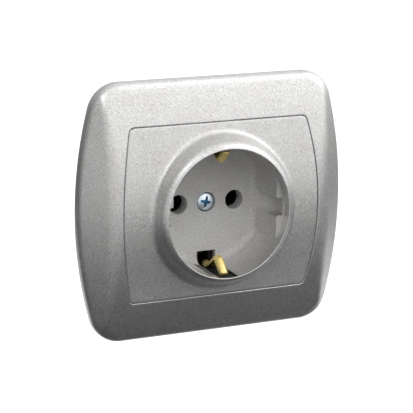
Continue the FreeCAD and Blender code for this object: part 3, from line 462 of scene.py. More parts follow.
frame_low, frame_high = [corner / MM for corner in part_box("outer_frame")]
FRAME_WIDTH = frame_high.x - frame_low.x
FRAME_HEIGHT = frame_high.z - frame_low.z
FRONT_HEIGHT = -frame_low.y
FRAME_BOW = 128.0
FRAME_CORNER = 9.75
FRAME_EDGE = 3.0
EDGE_ROUND = 1.0
CROWN_EDGE = 3.4
FLANK_RUN = 9.05
CREST_ROUND = 7.5
CORNER_LIFT = 0.1
CORNER_BLEND = 1.3
SHELL_WALL = 2.0
HOLLOW_EDGE = 1.6
PANEL_WIDTH = 64.9
PANEL_HEIGHT = 54.0
PANEL_BOW = 116.0
PANEL_CORNER = 1.75
PANEL_GAP = 0.12
GROOVE_ROUND = 0.3
LEDGE_DEPTH = 2.1
LEDGE_BACK = 3.5
LEDGE_WIDTH = 2.2
LAST_INSET = 9.0
SIDE_STEPS = 60
CORNER_STEPS = 18
TOP_STEPS = 56
ROUND_STEPS = 6
EDGE_STEPS = 4
FRONT_STEPS = 18
BRINK_STEPS = 9
FLAKE_GRAINS = 2400
FLAKE_DARK = (0.48, 0.48, 0.477)
FLAKE_LIGHT = (0.76, 0.765, 0.757)
DRIFT_GRAINS = 160
DRIFT_DARK = (0.955, 0.935, 0.935)
DRIFT_LIGHT = (1.0, 0.995, 0.99)
PEEL_GRAINS = 1100
PEEL_STRENGTH = 0.08
PEEL_DEPTH = 0.00005
SATIN_ROUGHNESS = (0.38, 0.48)
FLAKE_METAL = 0.96
DRY_METAL = 0.50
DRY_ROUGHNESS = 0.34

crown_rise = FRONT_HEIGHT - CROWN_EDGE
crown_radius = ((FRAME_HEIGHT / 2) ** 2 + crown_rise ** 2) / (2 * crown_rise)
flank_rise = FRONT_HEIGHT - FRAME_EDGE
flank_length = math.hypot(FLANK_RUN, flank_rise)


def bowed_outline(width, height, bow, corner):
    """Points round a shape with bowed sides, a straight top and bottom and round corners."""
    bow_center = width / 2 - bow
    corner_z = height / 2 - corner
    corner_x = bow_center + math.sqrt((bow - corner) ** 2 - corner_z ** 2)
    meeting = math.atan2(corner_z, corner_x - bow_center)
    side = np.linspace(-meeting, meeting, SIDE_STEPS, endpoint=False)
    turn = np.linspace(meeting, math.pi / 2, CORNER_STEPS, endpoint=False)
    along = np.linspace(corner_x, -corner_x, TOP_STEPS, endpoint=False)
    back_turn = np.linspace(math.pi / 2, math.pi - meeting, CORNER_STEPS, endpoint=False)
    half = np.concatenate([
        np.column_stack([bow_center + bow * np.cos(side), bow * np.sin(side)]),
        np.column_stack([corner_x + corner * np.cos(turn), corner_z + corner * np.sin(turn)]),
        np.column_stack([along, np.full(TOP_STEPS, height / 2)]),
        np.column_stack([corner * np.cos(back_turn) - corner_x, corner_z + corner * np.sin(back_turn)]),
    ])
    return np.concatenate([half, -half])


def frame_outline(inset):
    return bowed_outline(FRAME_WIDTH - 2 * inset, FRAME_HEIGHT - 2 * inset,
                         FRAME_BOW - inset, FRAME_CORNER - inset)


def panel_outline(inset):
    corner = max(PANEL_CORNER - inset, PANEL_GAP)
    return bowed_outline(PANEL_WIDTH - 2 * inset, PANEL_HEIGHT - 2 * inset, PANEL_BOW - inset, corner)


def frame_inset(x, z):
    """How far in from the frame's outline a point lies."""
    bow_center = FRAME_WIDTH / 2 - FRAME_BOW
    corner_z = FRAME_HEIGHT / 2 - FRAME_CORNER
    corner_x = bow_center + math.sqrt((FRAME_BOW - FRAME_CORNER) ** 2 - corner_z ** 2)
    x, z = np.abs(x), np.abs(z)
    edges = np.minimum(FRAME_BOW - np.hypot(x - bow_center, z), FRAME_HEIGHT / 2 - z)
    round_in = FRAME_CORNER - np.hypot(x - corner_x, z - corner_z)
    meeting = math.atan2(corner_z, corner_x - bow_center)
    in_corner = (x > corner_x) & (np.arctan2(z - corner_z, x - corner_x) > meeting)
    return np.where(in_corner, round_in, edges)


def crown_height(z):
    """The crown above the wall."""
    return FRONT_HEIGHT - crown_radius + np.sqrt(crown_radius ** 2 - z ** 2)


def soft_minimum(first, second, width):
    """The lower of two heights with a rounded meeting."""
    share = np.clip(0.5 + 0.5 * (second - first) / width, 0, 1)
    return second + (first - second) * share - width * share * (1 - share)


def front_height(x, z):
    """The frame's front above the wall: crown, rounded crest, sloping flank and sloping corners."""
    side = np.abs(x)
    half_width = FRAME_WIDTH / 2 - FRAME_BOW + np.sqrt(FRAME_BOW ** 2 - z ** 2)
    top = crown_height(z)
    steepness = flank_rise / FLANK_RUN
    crest_x = half_width - (top - FRAME_EDGE) / steepness
    radius = CREST_ROUND * (top - FRAME_EDGE) / flank_rise
    tangent = radius * flank_rise / (FLANK_RUN + flank_length)
    past = np.clip(side - crest_x + tangent, 0, tangent * (1 + FLANK_RUN / flank_length))
    crest = top - radius + np.sqrt(np.maximum(radius ** 2 - past ** 2, 0))
    flank = FRAME_EDGE + (half_width - side) * steepness
    swell = np.where(side > crest_x + tangent * FLANK_RUN / flank_length, flank, crest)
    block = FRAME_EDGE + CORNER_LIFT + frame_inset(x, z)
    return soft_minimum(swell, block, CORNER_BLEND)


def row_at(outline, height):
    """An outline set at a height above the wall."""
    return np.column_stack([outline[:, 0], -np.broadcast_to(height, len(outline)), outline[:, 1]])


def front_row(outline, drop=0.0):
    return row_at(outline, front_height(outline[:, 0], outline[:, 1]) - drop)


def crown_row(outline, drop):
    return row_at(outline, crown_height(outline[:, 1]) - drop)


def frame_rows():
    """Closed rows over the frame: rim, upright edge, front, groove, ledge and hollow back."""
    rim = frame_outline(0)
    rows = [row_at(rim, 0.0)]
    upright = front_height(rim[:, 0], rim[:, 1]) - EDGE_ROUND
    for number in range(1, EDGE_STEPS):
        rows.append(row_at(rim, number / EDGE_STEPS * upright))
    for number in range(ROUND_STEPS):
        turn = math.pi / 2 * number / ROUND_STEPS
        outline = frame_outline(EDGE_ROUND * (1 - math.cos(turn)))
        rows.append(front_row(outline, EDGE_ROUND * (1 - math.sin(turn))))
    for inset in np.linspace(EDGE_ROUND, LAST_INSET, FRONT_STEPS):
        rows.append(front_row(frame_outline(inset)))
    last = frame_outline(LAST_INSET)
    brink = panel_outline(-PANEL_GAP / 2 - GROOVE_ROUND)
    for share in np.linspace(0, 1, BRINK_STEPS)[1:]:
        rows.append(front_row(last + (brink - last) * share))
    for number in reversed(range(ROUND_STEPS)):
        turn = math.pi / 2 * number / ROUND_STEPS
        outline = panel_outline(-PANEL_GAP / 2 - GROOVE_ROUND * (1 - math.cos(turn)))
        rows.append(front_row(outline, GROOVE_ROUND * (1 - math.sin(turn))))
    rows.append(crown_row(panel_outline(-PANEL_GAP / 2), LEDGE_DEPTH))
    rows.append(crown_row(panel_outline(LEDGE_WIDTH), LEDGE_DEPTH))
    rows.append(crown_row(panel_outline(LEDGE_WIDTH), LEDGE_BACK))
    rows.append(crown_row(panel_outline(-LEDGE_WIDTH), LEDGE_BACK))
    rows.append(front_row(panel_outline(-LEDGE_WIDTH), SHELL_WALL))
    rows.append(front_row(frame_outline(LAST_INSET), SHELL_WALL))
    rows.append(front_row(frame_outline(2 * SHELL_WALL), SHELL_WALL + EDGE_ROUND))
    rows.append(row_at(frame_outline(SHELL_WALL), HOLLOW_EDGE))
    rows.append(row_at(frame_outline(SHELL_WALL), 0.0))
    return rows


def silver_lacquer(name, dry_depths=None):
    """Silver-grey lacquer with a fine metal flake, drier and duller where less of the spray reaches."""
    finish, shader = new_finish(name)
    flake = grain(finish, FLAKE_GRAINS, 2)
    drift = grain(finish, DRIFT_GRAINS, 3)
    peel = grain(finish, PEEL_GRAINS, 2)
    mix = add_node(finish, "ShaderNodeMix", {"Factor": 1.0}, data_type="RGBA", blend_type="MULTIPLY")
    join(finish, tint(finish, flake, FLAKE_DARK, FLAKE_LIGHT), mix.inputs["A"])
    join(finish, tint(finish, drift, DRIFT_DARK, DRIFT_LIGHT), mix.inputs["B"])
    join(finish, mix.outputs["Result"], shader.inputs["Base Color"])
    roughness = spread(finish, flake, *SATIN_ROUGHNESS)
    shader.inputs["Metallic"].default_value = FLAKE_METAL
    if dry_depths:
        total = add_node(finish, "ShaderNodeMath", {}, operation="ADD")
        join(finish, roughness, total.inputs[0])
        join(finish, change_with_depth(finish, dry_depths, 0.0, DRY_ROUGHNESS), total.inputs[1])
        roughness = total.outputs["Value"]
        metal = change_with_depth(finish, dry_depths, FLAKE_METAL, DRY_METAL)
        join(finish, metal, shader.inputs["Metallic"])
    join(finish, roughness, shader.inputs["Roughness"])
    roughen(finish, shader, peel, PEEL_STRENGTH, PEEL_DEPTH)
    return finish


lacquer = silver_lacquer("silver_lacquer")
shell_skin = Skin()
shell_skin.add_rows(frame_rows(), True)
shell = new_piece("frame_shell", shell_skin, lacquer)
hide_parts("outer_frame")


# The socket cover is one moulding in the same lacquer: panel, round collar and a deep bowl with two flats.
# Its floor has the pin holes, the screw's seat and the openings round the earth clips.

RIM_HEIGHT = -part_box("socket_cover")[0].y / MM
BOWL_DEPTH = 17.5
RIM_RADIUS = 19.9
LIP_ROUND = 0.2
RIM_ROUND = 3.0
RIM_TILT = math.radians(18)
COLLAR_SLOPE = 0.33
FOOT_ROUND = 2.2
FOOT_STEPS = 10
PANEL_EDGE_ROUND = 0.5
PANEL_SHEET = 2.0
BOWL_OUTSIDE = 21.9
FLOOR_DEPTH = BOWL_DEPTH - RIM_HEIGHT
FLOOR_RADIUS = 19.55
FLOOR_SHEET = 2.0
FLOOR_ROUND = 2.4
FLAT_DROP = 3.4
FLAT_TOP = FLAT_DROP - RIM_HEIGHT
FLAT_AT_TOP = 17.2
FLAT_AT_FLOOR = 16.35
CHANNEL_HALF = 2.8
CHANNEL_STRAIGHT = 4.5
CHANNEL_RISE = 1.2
CHANNEL_END = FLOOR_DEPTH - CHANNEL_RISE
PAD_ROUND = 0.6
SLOT_HALF = 3.15
SLOT_INNER = 15.5
SLOT_OUTER = 20.4
SLOT_DROP = 0.6
SLOT_TOP = SLOT_DROP - RIM_HEIGHT
PIN_PITCH = 19.0
PIN_RADIUS = 3.0
PIN_EDGE = 0.25
SPOUT_RADIUS = 3.45
SPOUT_BACK = 6.5
SEAT_RADIUS = 3.1
SEAT_EDGE = 0.15
SEAT_DROP = 2.8
SEAT_DEPTH = FLOOR_DEPTH + SEAT_DROP
BOSS_RADIUS = 4.7
BOSS_LENGTH = 2.5
BOSS_BACK = FLOOR_DEPTH + FLOOR_SHEET + BOSS_LENGTH
SHANK_HOLE = 2.05
HOLE_SIDES = 64
CHANNEL_STEPS = 6
STEP_SIDES = 3
PAD_STEPS = 8
FLAT_STEPS = 12
LIP_STEPS = 7
RIM_STEPS = 12
CONE_STEPS = 7
FOOT_PASSES = 12
PANEL_STEPS = 14
WALL_STEPS = 4
SWEEP_STEPS = 12
FLOOR_STEPS = 12
HOLE_STEPS = 5
CUT_TOLERANCE = WELD / 10
DRY_MARGIN = 5.0

# The arc beside each flat has most of its columns where the panel's corner lies behind it
ARC_RUNS = [(0, 0.14, 5), (0.14, 0.24, 24), (0.24, 1, 26)]
arc_shares = np.concatenate([np.linspace(*run, endpoint=False) for run in ARC_RUNS])
channel_shares = np.linspace(0, 1, CHANNEL_STEPS, endpoint=False)
slot_start = CHANNEL_STEPS + STEP_SIDES + PAD_STEPS + FLAT_STEPS + len(arc_shares)


def stretch_between(start, end, count):
    """Points on a straight run, without its end."""
    shares = np.linspace(0, 1, count, endpoint=False)[:, None]
    return np.array(start) + (np.array(end) - np.array(start)) * shares


def arc_between(radius, start, end, shares):
    angles = math.atan2(start[1], start[0]) * (1 - shares) + math.atan2(end[1], end[0]) * shares
    return np.column_stack([radius * np.cos(angles), radius * np.sin(angles)])


def on_circle(radius, x=None, z=None):
    """The point on a circle at a given x or z."""
    return (math.sqrt(radius ** 2 - z ** 2), z) if x is None else (x, math.sqrt(radius ** 2 - x ** 2))


def all_round(quarter):
    """A loop from its first quarter, which runs from the X axis to the Z axis."""
    half = np.concatenate([quarter, (quarter * (-1, 1))[::-1][1:]])
    return np.concatenate([half, (half * (1, -1))[::-1][1:-1]])


def pad_corner(flat_x, radius):
    """The round corner of a flat beside its channel."""
    turns = np.linspace(0, math.pi / 2, PAD_STEPS, endpoint=False)
    back = flat_x + radius * (1 - np.sin(turns))
    return np.column_stack([back, CHANNEL_HALF + radius * (1 - np.cos(turns))])


def bowl_quarter(y, flat, slot, inset=0.0):
    """A quarter of a cut across the bowl: channel, flat, round wall and the opening for an earth clip."""
    share = (y + RIM_HEIGHT) / (FLOOR_DEPTH + RIM_HEIGHT)
    radius = RIM_RADIUS + (FLOOR_RADIUS - RIM_RADIUS) * share - inset
    slot_edge = on_circle(radius, x=SLOT_HALF)
    if flat:
        fall = (y - FLAT_TOP) / (FLOOR_DEPTH - FLAT_TOP)
        flat_x = FLAT_AT_TOP + (FLAT_AT_FLOOR - FLAT_AT_TOP) * fall - inset
        flat_end = on_circle(radius, x=flat_x)
        back = max(channel_back(y) - inset, flat_x)
        corner = min(PAD_ROUND, back - flat_x)
        beside = [
            stretch_between((back, 0), (back, CHANNEL_HALF), CHANNEL_STEPS),
            stretch_between((back, CHANNEL_HALF), (flat_x + corner, CHANNEL_HALF), STEP_SIDES),
            pad_corner(flat_x, corner),
            stretch_between((flat_x, CHANNEL_HALF + corner), flat_end, FLAT_STEPS),
        ]
    else:
        flat_end = on_circle(radius, x=FLAT_AT_TOP)
        channel = on_circle(radius, z=CHANNEL_HALF)
        pad_shares = np.linspace(0, 1, PAD_STEPS + FLAT_STEPS, endpoint=False)
        beside = [
            arc_between(radius, (radius, 0), channel, channel_shares),
            stretch_between(channel, channel, STEP_SIDES),
            arc_between(radius, channel, flat_end, pad_shares),
        ]
    if slot:
        corner = (SLOT_HALF, SLOT_OUTER)
        opening = [
            stretch_between(slot_edge, corner, STEP_SIDES),
            stretch_between(corner, (0, SLOT_OUTER), CHANNEL_STEPS),
            np.array([(0, SLOT_OUTER)]),
        ]
    else:
        opening = [
            stretch_between(slot_edge, slot_edge, STEP_SIDES),
            arc_between(radius, slot_edge, (0, radius), channel_shares),
            np.array([(0, radius)]),
        ]
    return np.concatenate(beside + [arc_between(radius, flat_end, slot_edge, arc_shares)] + opening)


def channel_back(y):
    """The channel's back wall: straight, then swept forward to the flat above the floor."""
    wall = on_circle(FLOOR_RADIUS, z=CHANNEL_HALF)[0]
    sweep_y = FLAT_TOP + CHANNEL_STRAIGHT
    if y < sweep_y:
        return wall
    across = wall - FLAT_AT_FLOOR
    along = CHANNEL_END - sweep_y
    radius = (across ** 2 + along ** 2) / (2 * across)
    return wall - radius + math.sqrt(radius ** 2 - min(y - sweep_y, along) ** 2)


def bowl_row(y, flat, slot, inset=0.0):
    loop = all_round(bowl_quarter(y, flat, slot, inset))
    return row_at(loop, -y)


columns = all_round(bowl_quarter(-RIM_HEIGHT, False, False))
column_angles = np.arctan2(columns[:, 1], columns[:, 0])
column_cos, column_sin = np.cos(column_angles), np.sin(column_angles)


def ring(radius, height):
    """A row round the bowl's axis at the cover's columns."""
    depth = -np.broadcast_to(height, len(columns))
    return np.column_stack([radius * column_cos, depth, radius * column_sin])


def panel_reach(inset):
    """How far the panel's outline lies from the bowl's axis at each column."""
    outline = panel_outline(inset)
    angles = np.arctan2(outline[:, 1], outline[:, 0])
    order = np.argsort(angles)
    reach = np.hypot(outline[:, 0], outline[:, 1])
    return np.interp(column_angles, angles[order], reach[order], period=2 * math.pi)


def foot_rows(cone_radius, cone_height):
    """Rows of the fillet between the collar and the crowned panel."""
    reach = np.full(len(columns), cone_radius)
    for _ in range(FOOT_PASSES):
        reach = cone_radius + COLLAR_SLOPE * (cone_height - crown_height(reach * column_sin))
    z = reach * column_sin
    corner = np.column_stack([reach, crown_height(z)])
    fall = -z / np.sqrt(crown_radius ** 2 - z ** 2) * column_sin
    up = np.tile(np.array([-COLLAR_SLOPE, 1.0]) / math.hypot(COLLAR_SLOPE, 1), (len(columns), 1))
    out = np.column_stack([np.ones(len(columns)), fall]) / np.hypot(1, fall)[:, None]
    half = np.arccos(np.sum(up * out, axis=1)) / 2
    middle = (up + out) / np.linalg.norm(up + out, axis=1)[:, None]
    center = corner + middle * (FOOT_ROUND / np.sin(half))[:, None]
    start = corner + up * (FOOT_ROUND / np.tan(half))[:, None] - center
    end = corner + out * (FOOT_ROUND / np.tan(half))[:, None] - center
    turn = math.pi - 2 * half
    rows = []
    for share in np.linspace(0, 1, FOOT_STEPS):
        spoke = start * np.sin((1 - share) * turn)[:, None] + end * np.sin(share * turn)[:, None]
        spot = center + spoke / np.sin(turn)[:, None]
        rows.append((spot[:, 0], spot[:, 1]))
    return rows


def collar_rows():
    """Rows from the bowl's mouth over the lip, the collar and the panel to the back of the bowl."""
    rows = []
    for turn in np.linspace(0, math.pi / 2 + RIM_TILT, LIP_STEPS):
        radius = RIM_RADIUS + LIP_ROUND * (1 - math.cos(turn))
        height = RIM_HEIGHT - LIP_ROUND * (1 - math.sin(turn))
        rows.append(ring(radius, height))
    middle_radius = radius - RIM_ROUND * math.sin(RIM_TILT)
    middle_height = height - RIM_ROUND * math.cos(RIM_TILT)
    for turn in np.linspace(math.pi / 2 - RIM_TILT, math.atan(COLLAR_SLOPE), RIM_STEPS)[1:]:
        radius = middle_radius + RIM_ROUND * math.cos(turn)
        height = middle_height + RIM_ROUND * math.sin(turn)
        rows.append(ring(radius, height))
    foot = foot_rows(radius, height)
    for share in np.linspace(0, 1, CONE_STEPS)[1:-1]:
        reach = radius + (foot[0][0] - radius) * share
        rows.append(ring(reach, height + (foot[0][1] - height) * share))
    rows += [ring(reach, level) for reach, level in foot]
    start = foot[-1][0]
    brink = panel_reach(PANEL_GAP / 2 + PANEL_EDGE_ROUND)
    for share in np.linspace(0, 1, PANEL_STEPS)[1:]:
        reach = start + (brink - start) * share
        rows.append(ring(reach, crown_height(reach * column_sin)))
    for turn in np.linspace(math.pi / 2, 0, ROUND_STEPS)[1:]:
        reach = panel_reach(PANEL_GAP / 2 + PANEL_EDGE_ROUND * (1 - math.cos(turn)))
        drop = PANEL_EDGE_ROUND * (1 - math.sin(turn))
        rows.append(ring(reach, crown_height(reach * column_sin) - drop))
    rows.append(ring(reach, crown_height(reach * column_sin) - PANEL_SHEET))
    rows.append(ring(BOWL_OUTSIDE, crown_height(BOWL_OUTSIDE * column_sin) - PANEL_SHEET))
    rows.append(ring(BOWL_OUTSIDE, -FLOOR_DEPTH - FLOOR_SHEET))
    return rows


def wall_rows():
    """Rows up the bowl's wall from its floor to its mouth."""
    depths = [(-RIM_HEIGHT + LIP_ROUND, False, False), (SLOT_TOP, False, False), (SLOT_TOP, False, True)]
    depths += [(FLAT_TOP, False, True), (FLAT_TOP, True, True)]
    sweep_y = FLAT_TOP + CHANNEL_STRAIGHT
    round_y = FLOOR_DEPTH - FLOOR_ROUND
    depths += [(y, True, True) for y in np.linspace(FLAT_TOP, sweep_y, WALL_STEPS)[1:]]
    depths += [(y, True, True) for y in np.linspace(sweep_y, round_y, SWEEP_STEPS)[1:-1]]
    for turn in np.linspace(0, math.pi / 2, FLOOR_STEPS):
        y = FLOOR_DEPTH - FLOOR_ROUND * (1 - math.sin(turn))
        depths.append((y, True, True, FLOOR_ROUND * (1 - math.cos(turn))))
    return [bowl_row(*depth) for depth in reversed(depths)]


def inside(spot, loop):
    """True for a point inside a loop."""
    x, z = spot
    after = np.roll(loop, -1, axis=0)
    crosses = (loop[:, 1] > z) != (after[:, 1] > z)
    slope = (after[:, 0] - loop[:, 0]) / np.where(crosses, after[:, 1] - loop[:, 1], 1)
    return np.count_nonzero(crosses & (x < loop[:, 0] + (z - loop[:, 1]) * slope)) % 2 == 1


def add_sheet(skin, outline, holes, y):
    """A flat sheet across the axis, inside an outline and round its holes."""
    spots = []
    edges = []
    for loop in [outline] + holes:
        start = len(spots)
        spots += [Vector(spot) for spot in loop]
        edges += [(start + number, start + (number + 1) % len(loop)) for number in range(len(loop))]
    found = geometry.delaunay_2d_cdt(spots, edges, [], 0, CUT_TOLERANCE)
    faces = []
    for face in found[2]:
        middle = sum((found[0][corner] for corner in face), Vector((0, 0))) / len(face)
        if inside(middle, outline) and not any(inside(middle, hole) for hole in holes):
            faces.append(face)
    skin.add([(spot.x, y, spot.y) for spot in found[0]], faces)


def slot_loop(side):
    """The opening round an earth clip where it passes through the floor."""
    opening = bowl_quarter(FLOOR_DEPTH, True, True, FLOOR_ROUND)[slot_start:]
    half = np.concatenate([[(0, SLOT_INNER), (SLOT_HALF, SLOT_INNER)], opening])
    loop = np.concatenate([half, (half * (-1, 1))[::-1][1:-1]])
    return loop * (1, side)


def circle_loop(x, radius):
    return turned_rows(x, 0, [(radius, 0)], HOLE_SIDES)[0][:, [0, 2]]


def rounded_hole(radius, edge, depths):
    """A hole's profile: its rounded brink, then the radii and depths behind it."""
    brink = [(radius + edge * (1 - math.sin(turn)), FLOOR_DEPTH + edge * (1 - math.cos(turn)))
             for turn in np.linspace(0, math.pi / 2, HOLE_STEPS)]
    return brink + depths


def cover_skin():
    skin = Skin()
    skin.add_rows(wall_rows() + collar_rows())
    floor_back = FLOOR_DEPTH + FLOOR_SHEET
    slots = [slot_loop(side) for side in (1, -1)]
    for loop in slots:
        skin.add_rows([row_at(loop, -FLOOR_DEPTH), row_at(loop, -floor_back)])
    pins = (-PIN_PITCH / 2, PIN_PITCH / 2)
    for x in pins:
        profile = rounded_hole(PIN_RADIUS, PIN_EDGE, [
            (PIN_RADIUS, SPOUT_BACK), (SPOUT_RADIUS, SPOUT_BACK), (SPOUT_RADIUS, floor_back)])
        skin.add_rows(turned_rows(x, 0, profile, HOLE_SIDES))
    seat = rounded_hole(SEAT_RADIUS, SEAT_EDGE, [
        (SEAT_RADIUS, SEAT_DEPTH), (SHANK_HOLE, SEAT_DEPTH), (SHANK_HOLE, BOSS_BACK),
        (BOSS_RADIUS, BOSS_BACK), (BOSS_RADIUS, floor_back)])
    skin.add_rows(turned_rows(0, 0, seat, HOLE_SIDES))
    quarter = bowl_quarter(FLOOR_DEPTH, True, True, FLOOR_ROUND)[:slot_start + 1]
    floor = all_round(np.concatenate([quarter, [(SLOT_HALF, SLOT_INNER), (0, SLOT_INNER)]]))
    brinks = [circle_loop(x, PIN_RADIUS + PIN_EDGE) for x in pins]
    brinks.append(circle_loop(0, SEAT_RADIUS + SEAT_EDGE))
    add_sheet(skin, floor, brinks, FLOOR_DEPTH)
    backs = [circle_loop(x, SPOUT_RADIUS) for x in pins] + [circle_loop(0, BOSS_RADIUS)]
    add_sheet(skin, ring(BOWL_OUTSIDE, 0)[:, [0, 2]], backs + slots, floor_back)
    return skin


bowl_lacquer = silver_lacquer("bowl_lacquer", (DRY_MARGIN - RIM_HEIGHT, FLOOR_DEPTH - DRY_MARGIN))
cover = new_piece("cover_moulding", cover_skin(), bowl_lacquer)
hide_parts("socket_cover")


# Dark sheets stand behind the earth clips as painted shade and darken their openings.
# A dark grey strip lies in the bowl's wall on the left of each opening.

SHADE_SHEET = 0.27
SHEET_GAP = 0.03
SHADE_SHEET_BACK = 4.2
SHADE_SHEET_SIDE = 19.74
RIB_FROM = -5.2
RIB_TO = -3.3
RIB_TOP = -12.2
RIB_LOW = 1.2
RIB_SHEET = 0.3
RIB_STEPS = 6
WALL_STRIP_DARK = (0.10, 0.098, 0.096)
WALL_STRIP_LIGHT = (0.15, 0.148, 0.146)


def clip_shade_sheets():
    """A channel of three sides in the wall behind each clip, a dark sheet put there as painted shade."""
    skin = Skin()
    half = SLOT_HALF - SHEET_GAP
    outer = SLOT_OUTER - SHEET_GAP
    front = SLOT_TOP + SHEET_GAP
    for side in (1, -1):
        low, high = sorted((side * (outer - SHADE_SHEET), side * outer))
        add_block(skin, (-half, front, low), (half, SHADE_SHEET_BACK, high))
        low, high = sorted((side * SHADE_SHEET_SIDE, side * (outer - SHADE_SHEET)))
        add_block(skin, (-half, front, low), (SHADE_SHEET - half, FLOOR_DEPTH, high))
        add_block(skin, (half - SHADE_SHEET, front, low), (half, FLOOR_DEPTH, high))
    return skin


def dark_wall_strips():
    """A curved strip that lies in the bowl's wall beside each opening."""
    skin = Skin()
    across = np.linspace(RIB_FROM, RIB_TO, RIB_STEPS)
    for side in (1, -1):
        rows = []
        for y in (RIB_TOP, RIB_LOW):
            share = (y + RIM_HEIGHT) / (FLOOR_DEPTH + RIM_HEIGHT)
            radius = RIM_RADIUS + (FLOOR_RADIUS - RIM_RADIUS) * share - SHEET_GAP
            near = np.column_stack([across, np.sqrt(radius ** 2 - across ** 2) * side])
            far = np.column_stack([across, np.sqrt((radius + RIB_SHEET) ** 2 - across ** 2) * side])
            rows.append(row_at(np.concatenate([near, far[::-1]]), -y))
        skin.add_bar(rows)
    return skin


# The sheets behind the clips take the base's dark plastic, as painted shade in the openings.
new_piece("clip_shade_sheets", clip_shade_sheets(), base_and_shade_finish)
wall_strip_finish = moulded_plastic("wall_strip_grey", WALL_STRIP_DARK, WALL_STRIP_LIGHT)
new_piece("dark_wall_strips", dark_wall_strips(), wall_strip_finish)


# The cover screw is zinc-plated steel with a low domed head and a pressed cross recess.
# It passes through the bowl's floor and the strap's eye into the nut.

screw_low, screw_high = [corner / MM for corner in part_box("cover_screw")]
HEAD_RADIUS = (screw_high.x - screw_low.x) / 2
HEAD_TOP = screw_low.y
HEAD_DOME = 0.5
HEAD_HEIGHT = 2.1
HEAD_EDGE = 0.18
HEAD_EDGE_START = 0.4
HEAD_EDGE_STEPS = 4
HEAD_MIDDLE = 0.02
SHANK_RADIUS = 1.75
SHANK_END = screw_high.y
CROSS_TURN = math.radians(-14)
CROSS_HALF = 0.5
CROSS_REACH = 1.75
CROSS_DEPTH = 1.2
CROSS_WALL = 0.14
CROSS_SLOPE = 0.45
CROSS_TAPER = 0.3
HEAD_RINGS = 56
HEAD_SIDES = 144


def cross_recess(x, z):
    """The depth of the cross: upright sides, ends that slope to the middle."""
    along = np.abs(x * math.cos(CROSS_TURN) + z * math.sin(CROSS_TURN))
    beside = np.abs(z * math.cos(CROSS_TURN) - x * math.sin(CROSS_TURN))
    near = np.minimum(along, beside)
    far = np.maximum(along, beside)
    half = CROSS_HALF * (1 - CROSS_TAPER * far / CROSS_REACH)
    wall = np.clip((half - near) / CROSS_WALL, 0, 1)
    end = np.clip((CROSS_REACH - far) / CROSS_SLOPE, 0, 1)
    return CROSS_DEPTH * wall * end


def screw_rows():
    """Rows from the head's middle over its dome and edge and down the shank."""
    dome_radius = (HEAD_RADIUS ** 2 + HEAD_DOME ** 2) / (2 * HEAD_DOME)
    rows = []
    for reach in np.linspace(HEAD_MIDDLE, HEAD_RADIUS - HEAD_EDGE, HEAD_RINGS):
        depth = HEAD_TOP + dome_radius - math.sqrt(dome_radius ** 2 - reach ** 2)
        row = turned_rows(0, 0, [(reach, depth)], HEAD_SIDES)[0]
        row[:, 1] += cross_recess(row[:, 0], row[:, 2])
        rows.append(row)
    shoulder = HEAD_TOP + HEAD_DOME
    under = HEAD_TOP + HEAD_HEIGHT
    profile = []
    for turn in np.linspace(HEAD_EDGE_START, math.pi / 2, HEAD_EDGE_STEPS):
        reach = HEAD_RADIUS - HEAD_EDGE * (1 - math.sin(turn))
        profile.append((reach, shoulder + HEAD_EDGE * (1 - math.cos(turn))))
    profile += [(HEAD_RADIUS, under), (SHANK_RADIUS, under)]
    profile += [(SHANK_RADIUS, SHANK_END), (HEAD_MIDDLE, SHANK_END)]
    return rows + turned_rows(0, 0, profile, HEAD_SIDES)


screw_skin = Skin()
screw_skin.add_bar(screw_rows())
# The cross recess is painted darker blue with its depth, as shade.
shaded_cross_zinc = zinc_plating("shaded_cross_zinc", (HEAD_TOP + HEAD_DOME, HEAD_TOP + CROSS_DEPTH))
screw = new_piece("cover_screw_head", screw_skin, shaded_cross_zinc)
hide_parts("cover_screw")


# The studio is a plain pale floor, a plain soft surround and two wide lamps. Mirrored in the lacquer,
# the floor is grey in front of the socket, as if a card lay there, which shades its lower edge.
# The camera stands to the left and a little above.

FLOOR_DROP = -0.30
FLOOR_HALF = 8.0
FLOOR_GREY = 0.025
FLOOR_PALE = 0.90
FLOOR_GLOW = 0.25
FLOOR_ROUGHNESS = 0.9
PALE_BEHIND = (-0.05, 0.50)
PALE_WIDTH = (0.8, 0.5)
PALE_FRONT = (-0.8, -1.5)
SURROUND_LEVEL = 0.82
SURROUND_SLOPE = (0.56, -0.26, 0.22)
LAMPS = [("left_lamp", math.radians(-35), math.radians(42), 0.45),
         ("right_lamp", math.radians(60), math.radians(40), 0.60)]
LAMP_SPREAD = math.radians(20)
CAMERA_LEFT = math.radians(24.63)
CAMERA_RISE = math.radians(13.42)
CAMERA_ROLL = math.radians(0.436)
CAMERA_PLACE = Vector((-0.2167, -0.47266, 0.12404))
CAMERA_LENS = 150.87
CAMERA_SHIFT = (-0.0064, -0.0070)
CAMERA_NEAR = 0.01


def ramp(finish, source, limits):
    """A soft step from nought to one between two distances in metres."""
    node = add_node(finish, "ShaderNodeMapRange", {"From Min": limits[0], "From Max": limits[1]},
                    interpolation_type="SMOOTHSTEP")
    join(finish, source, node.inputs["Value"])
    return node.outputs["Result"]


def combine(finish, kind, first, second):
    node = add_node(finish, "ShaderNodeMath", {}, operation=kind)
    join(finish, first, node.inputs[0])
    join(finish, second, node.inputs[1])
    return node.outputs["Value"]


